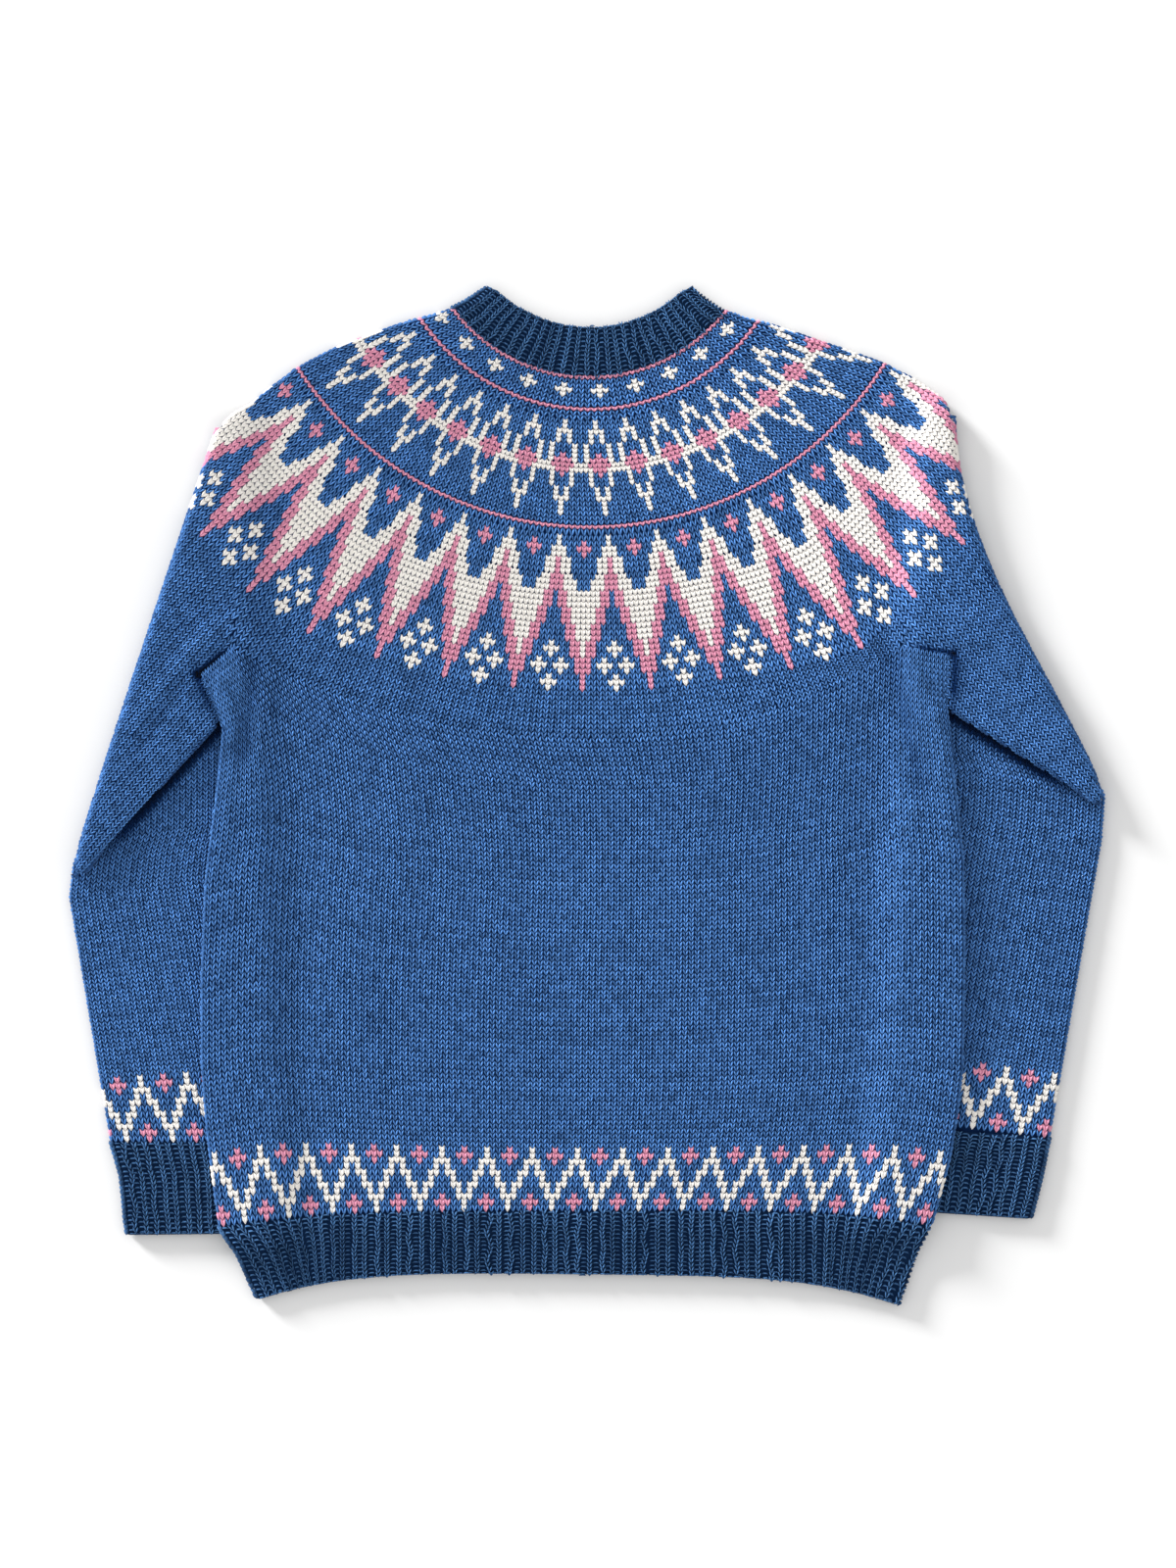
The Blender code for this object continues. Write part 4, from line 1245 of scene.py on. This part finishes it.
def rolled_rings(plan, fold, share, side):
    """Rings that turn the tube over the elbow fold."""
    step = 0.01
    along = unit(on_curve(plan["fold"], FOLD_BREAKS, share + step)
                 - on_curve(plan["fold"], FOLD_BREAKS, share - step))
    inward = INWARD[side]
    out = np.column_stack([inward * along[:, 1], -inward * along[:, 0], np.zeros(len(share))])
    along = np.column_stack([along, np.zeros(len(share))])
    up = np.array([0, 0, 1.0])
    # the roll is thinner where it ends, at the shoulder and at the tip of the elbow
    ends = np.maximum(smooth((share - 0.93) / 0.07), smooth((0.06 - share) / 0.06))
    radius = FOLD_RADIUS * (1 - 0.6 * ends[:, None])
    rings = []
    for number in range(1, ROLL_STEPS + 1):
        turn = math.pi * number / ROLL_STEPS
        ups = out * math.sin(turn) + up * math.cos(turn)
        middles = np.column_stack([fold, np.full(len(fold), EDGE + FOLD_RADIUS)])
        middles = middles + ups * radius
        ring = {"top": middles, "under": middles, "up": ups}
        for key, end, angle in (("start", 0, plan["fold_top_faces"]),
                                ("end", -1, plan["fold_end_faces"])):
            faces = np.append(facing(angle), 0)
            turned = out[end] * math.cos(turn) - up * math.sin(turn)
            ring[key] = along[end] * faces.dot(along[end]) + turned * faces.dot(out[end])
        rings.append(ring)
    return rings


def forearm_rings(plan, last, share, side):
    """Rings of the forearm, from under the elbow fold to the cuff."""
    inner_faces, outer_faces = (np.append(facing(plan[key]), 0)
                                for key in ("inner_faces", "outer_faces"))
    (inner_top, outer_top), (inner_end, outer_end) = np.array(plan["below_fold"]), \
        np.array(plan["cuff_top"])
    above_elbow, elbow = forearm_outer(side)[:2]
    rings = []
    for amount in (-0.1, 0.0, 0.15, 0.3, 0.45, 0.6, 0.8, 1.0):
        inner, outer = mix(inner_top, inner_end, amount), mix(outer_top, outer_end, amount)
        row = mix(inner, outer, share[:, None])
        if amount < 0:
            # close under the elbow fold, and out to the tip of the elbow
            tip = mix(above_elbow, elbow, 0.75) - plan["fold"][3]
            row = mix(last["top"][:, :2], mix(inner_top, outer_top, share[:, None]), 0.08)
            row += tip * smooth((share[:, None] - 0.85) / 0.15)
        middles = np.column_stack([row, np.full(len(share), EDGE)])
        ring = {"top": middles, "under": middles, "start": inner_faces, "end": outer_faces,
                "up": np.tile([0, 0, -1.0], (len(share), 1))}
        if amount < 0:
            ring["start"] = unit(last["start"] + inner_faces)
            ring["end"] = unit(last["end"] * 0.4 + outer_faces)
        rings.append(ring)
    return rings


def cuff_shell(side):
    """The cloth of a cuff."""
    plan = SLEEVES[side]
    rings = []
    corners = [np.array(plan[key]) for key in ("cuff_top", "cuff_middle", "cuff_end")]
    corners[0] = corners[0] - (0, SEAM)
    steps = [corners[0], (corners[0] + corners[1]) / 2, corners[1],
             (corners[1] + corners[2]) / 2, corners[2]]
    for inner, outer in steps:
        row = mix(inner, outer, np.linspace(0, 1, 17)[:, None])
        ring = shell_ring(row, facing(plan["inner_faces"]), facing(plan["outer_faces"]))
        for part in ("top", "under"):
            ring[part][:, 2] = EDGE
        rings.append(ring)
    return shell("cuff_%s_cloth" % side, rings, SHADED_RIB_GROUND)


# ---------------------------------------------------------------- knitting each piece
def on_back(x, y):
    """Height of the tube's middle under the back, the side that lies up."""
    return floor_under(x, y) + EDGE + creases(BODY_CREASES, x, y)


def on_arm(x, y):
    """The same on the upper side of an upper arm."""
    return floor_under(x, y) + EDGE + creases(SLEEVE_CREASES, x, y)


def on_front(x, y):
    """The same on the side that lies down, which has no creases."""
    return floor_under(x, y) + EDGE


def on_table(x, y):
    """The same on forearms and cuffs, which lie on the table itself."""
    return np.full(np.broadcast(x, y).shape, EDGE)


def wear(piece, *yarns):
    """Give a piece its yarns, in the order of their numbers."""
    for yarn in yarns:
        piece.data.materials.append(yarn)
    return piece


def arm_side(points):
    """-1 left of the yoke's left armhole, 1 right of its right one, else 0."""
    side = np.zeros(points.shape[:-1])
    left = side_of_line(points, shoulder("left"), UNDERARM["left"])
    right = side_of_line(points, shoulder("right"), UNDERARM["right"])
    side[(left < 0) & (points[..., 0] < 0)] = -1
    side[(right > 0) & (points[..., 0] > 0)] = 1
    return side


def yoke_cells():
    """Stitches of the whole round yoke, with the parts of it that lie on the sleeves."""
    found = {0: [], -1: [], 1: []}
    for first, per_repeat, rows in YOKE_CHARTS:
        stitches = np.arange(math.ceil(REPEAT_SPAN[0] * per_repeat),
                             math.floor(REPEAT_SPAN[1] * per_repeat))
        end = JOIN_ROW if first == PLAIN_ROW else first + len(rows)
        cells, numbers = cells_of(
            lambda stitch, row: yoke_place((stitch - 0.5) / per_repeat, row),
            stitches, np.arange(first, end))
        yarn = chart_yarn(rows, numbers[:, 1] - first, numbers[:, 0])
        whole = np.array([set(line) == {"p"} for line in rows])
        thin = whole[np.minimum(numbers[:, 1].astype(int) - first, len(rows) - 1)]
        cells[thin] = mix(cells[thin], cells[thin][:, [2, 3, 0, 1]], PINK_ROUND_SHRINK)
        side = arm_side(cells.mean(1))
        angle = repeat_angle(numbers[:, 0] / per_repeat, SPIKE_RADIUS)
        on_yoke = numbers[:, 1] < np.round(join_row(angle))
        for key in found:
            keep = side == key
            keep &= on_yoke if key == 0 else numbers[:, 1] < PLAIN_ROW
            spaced = numbers[keep] * (PLAIN_REPEAT / per_repeat, 1)
            found[key].append((cells[keep], spaced, yarn[keep]))
    return {key: tuple(np.concatenate(part) for part in zip(*value))
            for key, value in found.items()}


def arm_cells(side):
    """Plain stitches of an upper arm, past the pattern."""
    outward = -INWARD[side]
    cells, numbers = cells_of(
        lambda stitch, row: sleeve_place(side, (stitch - 0.5) / PLAIN_REPEAT, row),
        np.sort(np.arange(*UPPER_ARM_STITCHES) * outward),
        np.arange(PLAIN_ROW, PLAIN_ROW + UPPER_ARM_ROWS))
    middle = cells.mean(1)
    outline = np.array([SLEEVES[side]["underarm_edge"], TUCK[side], UNDERARM[side],
                        shoulder(side)])
    # below the tuck the stitches go a little way under the body
    hidden = ARM_TUCKED * (middle[:, 1] < TUCK[side][1] + 0.002)
    keep = outward * (middle[:, 0] - read(outline, 1, middle[:, 1], 0)) > -hidden
    return cells[keep], numbers[keep], np.zeros(keep.sum(), int)


def knit_yoke():
    """Stitches of the yoke and of both upper arms, by the node they belong to."""
    cells = yoke_cells()
    folds = [yoke_fold(side) for side in INWARD]
    pieces = {}
    keep = inside_folds(cells[0][0], folds)
    group = [part[keep] for part in cells[0]]
    pieces["yoke"] = [
        wear(stitch_mesh("yoke_back_stitches", KNIT, *group, on_back, folds, 11), *YARN_SET),
        behind("yoke_back_inner", *group, on_back, folds, 13),
        wear(stitch_mesh("yoke_front_stitches", LOW_KNIT, *group, on_front, folds, 12,
                         upward=-1.0), *YARN_SET)]
    for key, side in ((-1, "left"), (1, "right")):
        plain = arm_cells(side)
        group = [np.concatenate(parts) for parts in zip(cells[key], plain)]
        arm_folds = [yoke_fold(side), upper_arm_fold(side)]
        keep = inside_folds(group[0], arm_folds)
        group = [part[keep] for part in group]
        pieces["sleeve_" + side] = [wear(
            stitch_mesh("upper_arm_%s_stitches" % side, KNIT, *group, on_arm, arm_folds,
                        20 + key, shaded=SLEEVE_SHADE), *YARN_SET),
            behind("upper_arm_%s_inner" % side, *group, on_arm, arm_folds, 24 + key)]
        # the front of the sleeve shows only between the yoke and the forearm under it
        middle = group[0].mean(1)
        beside = key * (middle[:, 0] - forearm_inner_x(side, middle[:, 1])) < 0.002
        pieces["sleeve_" + side].append(wear(
            stitch_mesh("upper_arm_%s_under_stitches" % side, LOW_KNIT,
                        *(part[beside] for part in group), on_front, arm_folds[:1], 27 + key,
                        upward=-1.0), *YARN_SET))
    return pieces


def knit_body():
    """Stitches of the body and its zigzag band."""
    folds = [body_fold(side) for side in INWARD]
    stitches = np.arange(-1, BODY_STITCHES + 1)
    cells, numbers = cells_of(body_place, stitches, np.arange(JOIN_ROWS["right"], RIB_ROW))
    last = BODY_STITCHES - UNDERARM_STITCHES
    share = np.clip((numbers[:, 0] + 0.5 - UNDERARM_STITCHES) / (last - UNDERARM_STITCHES), 0, 1)
    angle = mix(UNDERARM_POLAR["left"][0], UNDERARM_POLAR["right"][0], share)
    keep = (numbers[:, 1] >= np.round(join_row(angle))) & inside_folds(cells, folds)
    cells, numbers = cells[keep], numbers[keep]
    band = numbers[:, 1] >= BAND_ROW
    yarn = chart_yarn(ZIGZAG, numbers[:, 1] - BAND_ROW, numbers[:, 0] - 1)
    pieces = [behind("hem_band_inner", cells, numbers, yarn, on_back, folds, 34)]
    for name, chosen, stitch, upward, seed in (
            ("body_back_stitches", ~band, KNIT, 1.0, 31),
            ("hem_band_stitches", band, KNIT, 1.0, 32),
            ("body_front_stitches", band | ~band, LOW_KNIT, -1.0, 33)):
        group = (cells[chosen], numbers[chosen], yarn[chosen])
        middle = on_back if upward > 0 else on_front
        pieces.append(wear(stitch_mesh(name, stitch, *group, middle, folds, seed,
                                       upward=upward, shaded=BODY_SHADE), *YARN_SET))
    return pieces


def forearm_cells(side, rows):
    """Stitches of a forearm, counted up from its band, and the yarn of each."""
    cells, numbers = cells_of(lambda stitch, row: forearm_place(side, stitch, -row),
                              np.arange(-1, FOREARM_STITCHES), -np.arange(rows)[::-1] - 1)
    yarn = chart_yarn(ZIGZAG, len(ZIGZAG) + numbers[:, 1],
                      numbers[:, 0] - SLEEVES[side]["first_peak"])
    return cells, numbers, yarn


def knit_forearm(side, seed):
    """Stitches of a forearm's upper side, to where the upper arm and the body cover it."""
    fold, plan, inward = forearm_fold(side), SLEEVES[side], INWARD[side]
    cells, numbers, yarn = forearm_cells(side, FOREARM_ROWS)
    middle = cells.mean(1)
    y_column = SIDE_COLUMN[side]
    body_x = read(BODY_SIDES, y_column, middle[:, 1], y_column + 1)
    shown = inward * (middle[:, 0] - body_x) < FOREARM_UNDER_BODY
    inside = inward * (middle[:, 0] - plan["fold"][3][0])
    over = FOREARM_OVERLAP * smooth((inside - OVERLAP_START) / OVERLAP_RUN) + ELBOW_OVERLAP
    above = inward * side_of_line(middle, plan["fold"][3], plan["underarm_edge"])
    # the forearm is dark close under the upper arm, except at the open end of the elbow
    under = 1 - smooth((-ARM_SHADOW_GAP - EDGE - above) / ARM_SHADOW_WIDTH)
    light = 1 - ARM_SHADOW * under * smooth((inside + 0.004) / ARM_SHADOW_RUN)
    keep = shown & (above < over) & inside_folds(cells, [fold])
    cells, numbers, yarn = cells[keep], numbers[keep], yarn[keep]
    if side == "right":
        cells = mirrored_cells(cells)
    return [wear(stitch_mesh("forearm_%s_stitches" % side, KNIT, cells, numbers, yarn,
                             on_table, [fold], seed, light=light[keep]), *YARN_SET),
            behind("forearm_%s_inner" % side, cells, numbers, yarn, on_table, [fold],
                   seed + 3)]


def knit_under_forearm(side, seed):
    """The forearm's side on the table, up to the fold of the elbow."""
    plan, inward = SLEEVES[side], INWARD[side]
    line, out, _ = fold_line(on_curve(plan["fold"], FOLD_BREAKS, np.linspace(0, 1, 60)), side)
    folds = [(line, out, np.full(len(line), FOLD_RADIUS + EDGE)), forearm_fold(side)]
    cells, numbers, yarn = forearm_cells(side, UNDER_ROWS)
    middle = cells.mean(1)
    inner = forearm_inner_x(side, middle[:, 1])
    past_fold = read(line, 1, middle[:, 1], 0)
    keep = (inward * (middle[:, 0] - inner) < -UNDER_TUCKED) & inside_folds(cells, folds[1:])
    keep &= inward * (middle[:, 0] - past_fold) > -FOLD_RADIUS - EDGE * 1.6
    keep &= middle[:, 1] < plan["fold"][0][1]
    cells = cells[keep]
    if side == "right":
        cells = mirrored_cells(cells)
    return wear(stitch_mesh("forearm_%s_under_stitches" % side, LOW_KNIT, cells,
                            numbers[keep], yarn[keep], on_table, folds, seed, upward=-1.0),
                *YARN_SET)


def rib(name, place, columns, rows, middle_of, folds, seed, light, edge_row, mirrored=False,
        upward=1.0):
    """A one by one rib: raised knit columns, purl bumps in the valleys, and a cast-off edge."""
    pieces = []
    down = np.arange(rows, dtype=float)
    across = np.arange(-1, columns + 1)
    knit_column = (across % 2 == 0) | (across < 0)
    random = np.random.default_rng(seed)
    lean, sway, phase, slip = (random.normal(0, wide, columns + 2)
                               for wide in COLUMN_WANDER)
    glow = np.clip(random.normal(1.0, COLUMN_LIGHT, columns + 2), *COLUMN_LIGHT_RANGE)
    ways = {"knit": (KNIT if upward > 0 else LOW_KNIT, across[knit_column], down),
            "purl": (PURL_BUMP, across[~knit_column], down),
            "edge": (PURL_BUMP, across, np.array([edge_row - 0.5]))}
    for label, raised, own_light, spread_by in RIB_PARTS:
        stitch, chosen, own_rows = ways[label]
        column, row = np.meshgrid(chosen.astype(float), own_rows)
        index = column.astype(int) + 1
        moved = column + lean[index] + sway[index] * np.sin(SWAY_STEP * row + phase[index])
        slid = row + slip[index] * (len(own_rows) > 1)
        cells, numbers = grid_of(
            [place(moved + right + (spread_by if right else -spread_by), slid + low)
             for low in (0, 1) for right in (0, 1)], column, row)
        if mirrored:
            cells = mirrored_cells(cells)
        keep = inside_folds(cells, folds)
        cells, numbers = cells[keep], numbers[keep]
        under = "" if upward > 0 else "under_"
        pieces.append(wear(stitch_mesh(
            "%s_%s%s_stitches" % (name, under, label), stitch, cells, numbers,
            np.zeros(len(cells), int), middle_of, folds, seed + len(pieces), upward,
            raised * (upward > 0), own_light * glow[numbers[:, 0].astype(int) + 1]
            * np.interp(numbers[:, 1] / rows, *light)), RIB_SHADED_YARN))
    return pieces


# ---------------------------------------------------------------- stage
TABLE_DROP = 0.0004            # the table lies just under the lowest stitches
PHOTO_HEIGHT, PIXELS_PER_METRE = 1600, 1500
CAMERA_HEIGHT, SENSOR = 3.2, 36.0
CAMERA_OFFSET = (-0.0010, 0.0063)          # middle of the photo from the plan's middle


def build_stage():
    """A white table, a soft room with a low window, and the camera straight above."""
    table = bmesh.new()
    bmesh.ops.create_grid(table, x_segments=1, y_segments=1, size=3.0)
    data = bpy.data.meshes.new("white_table")
    table.to_mesh(data)
    table.free()
    floor = placed("white_table", data)
    floor.location.z = -TABLE_DROP
    material = bpy.data.materials.new("white_table")
    material.use_nodes = True
    shader = material.node_tree.nodes["Principled BSDF"]
    shader.inputs["Base Color"].default_value = (0.69, 0.69, 0.69, 1)
    shader.inputs["Roughness"].default_value = 0.9
    data.materials.append(material)

    world = bpy.data.worlds.new("soft_room")
    world.use_nodes = True
    sky = world.node_tree.nodes["Background"]
    sky.inputs["Color"].default_value = (1, 1, 1, 1)
    sky.inputs["Strength"].default_value = 1.03
    bpy.context.scene.world = world
    light = bpy.data.lights.new("low_window", "SUN")
    light.energy = 6.2
    light.angle = math.radians(14)
    lamp = placed("low_window", light)
    lamp.rotation_euler = Vector((1.0, -0.9, -0.34)).to_track_quat("-Z", "Y").to_euler()
    bpy.context.scene.view_settings.view_transform = "Standard"

    camera_data = bpy.data.cameras.new("from_above")
    camera_data.sensor_fit = "VERTICAL"
    camera_data.sensor_height = SENSOR
    camera_data.lens = SENSOR * CAMERA_HEIGHT / (PHOTO_HEIGHT / PIXELS_PER_METRE)
    camera = placed("from_above", camera_data)
    camera.location = (*(PLAN_SHIFT + CAMERA_OFFSET), CAMERA_HEIGHT)
    bpy.context.scene.camera = camera


# ---------------------------------------------------------------- the sweater
build_stage()
WOOL_GROUP = wool_colour_group()
FIBRE_GROUP = spun_fibre_group()
BLUE, CREAM, PINK, RIB_SHADED_YARN, SHADED_GROUND, SHADED_RIB_GROUND = (wool_material(*row) for row in WOOLS)
YARN_SET = (BLUE, CREAM, PINK)

shells = {"neckband": neck_shell(), "yoke": yoke_shell(), "body": body_shell(),
          "hem_rib": hem_shell()}
knitted = knit_yoke()
knitted["body"] = knit_body()
body_folds = [body_fold(side) for side in INWARD]
neck_folds = [yoke_fold(side) for side in INWARD]
for upward, middle_of, first_seed in ((1.0, on_back, 51), (-1.0, on_front, 71)):
    for node, ribs in (
            ("hem_rib", rib("hem_rib", hem_place, HEM_STITCHES, HEM_ROWS, middle_of, body_folds,
                            first_seed, RIB_LIGHT["hem_rib"], HEM_ROWS, upward=upward)),
            ("neckband", rib("neckband", neck_place, NECK_STITCHES, NECK_ROWS, middle_of,
                             neck_folds, first_seed + 3, RIB_LIGHT["neckband"], 0,
                             upward=upward))):
        knitted[node] = knitted.get(node, []) + ribs
for number, side in enumerate(INWARD):
    shells["sleeve_" + side] = sleeve_shell(side)
    shells["cuff_" + side] = cuff_shell(side)
    knitted["sleeve_" + side] += [*knit_forearm(side, 41 + number),
                                  knit_under_forearm(side, 47 + number)]
    knitted["cuff_" + side] = []
    for upward, first_seed in ((1.0, 57), (-1.0, 77)):
        knitted["cuff_" + side] += rib(
            "cuff_" + side, lambda stitch, row, arm=side: cuff_place(arm, stitch, row),
            CUFF_STITCHES, CUFF_ROWS, on_table, [forearm_fold(side)], first_seed + 3 * number,
            RIB_LIGHT["cuff"], CUFF_ROWS, mirrored=side == "right", upward=upward)

for node, cloth in shells.items():
    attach(cloth, "root")
    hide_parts(node)
    for piece in knitted[node]:
        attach(piece, "root")
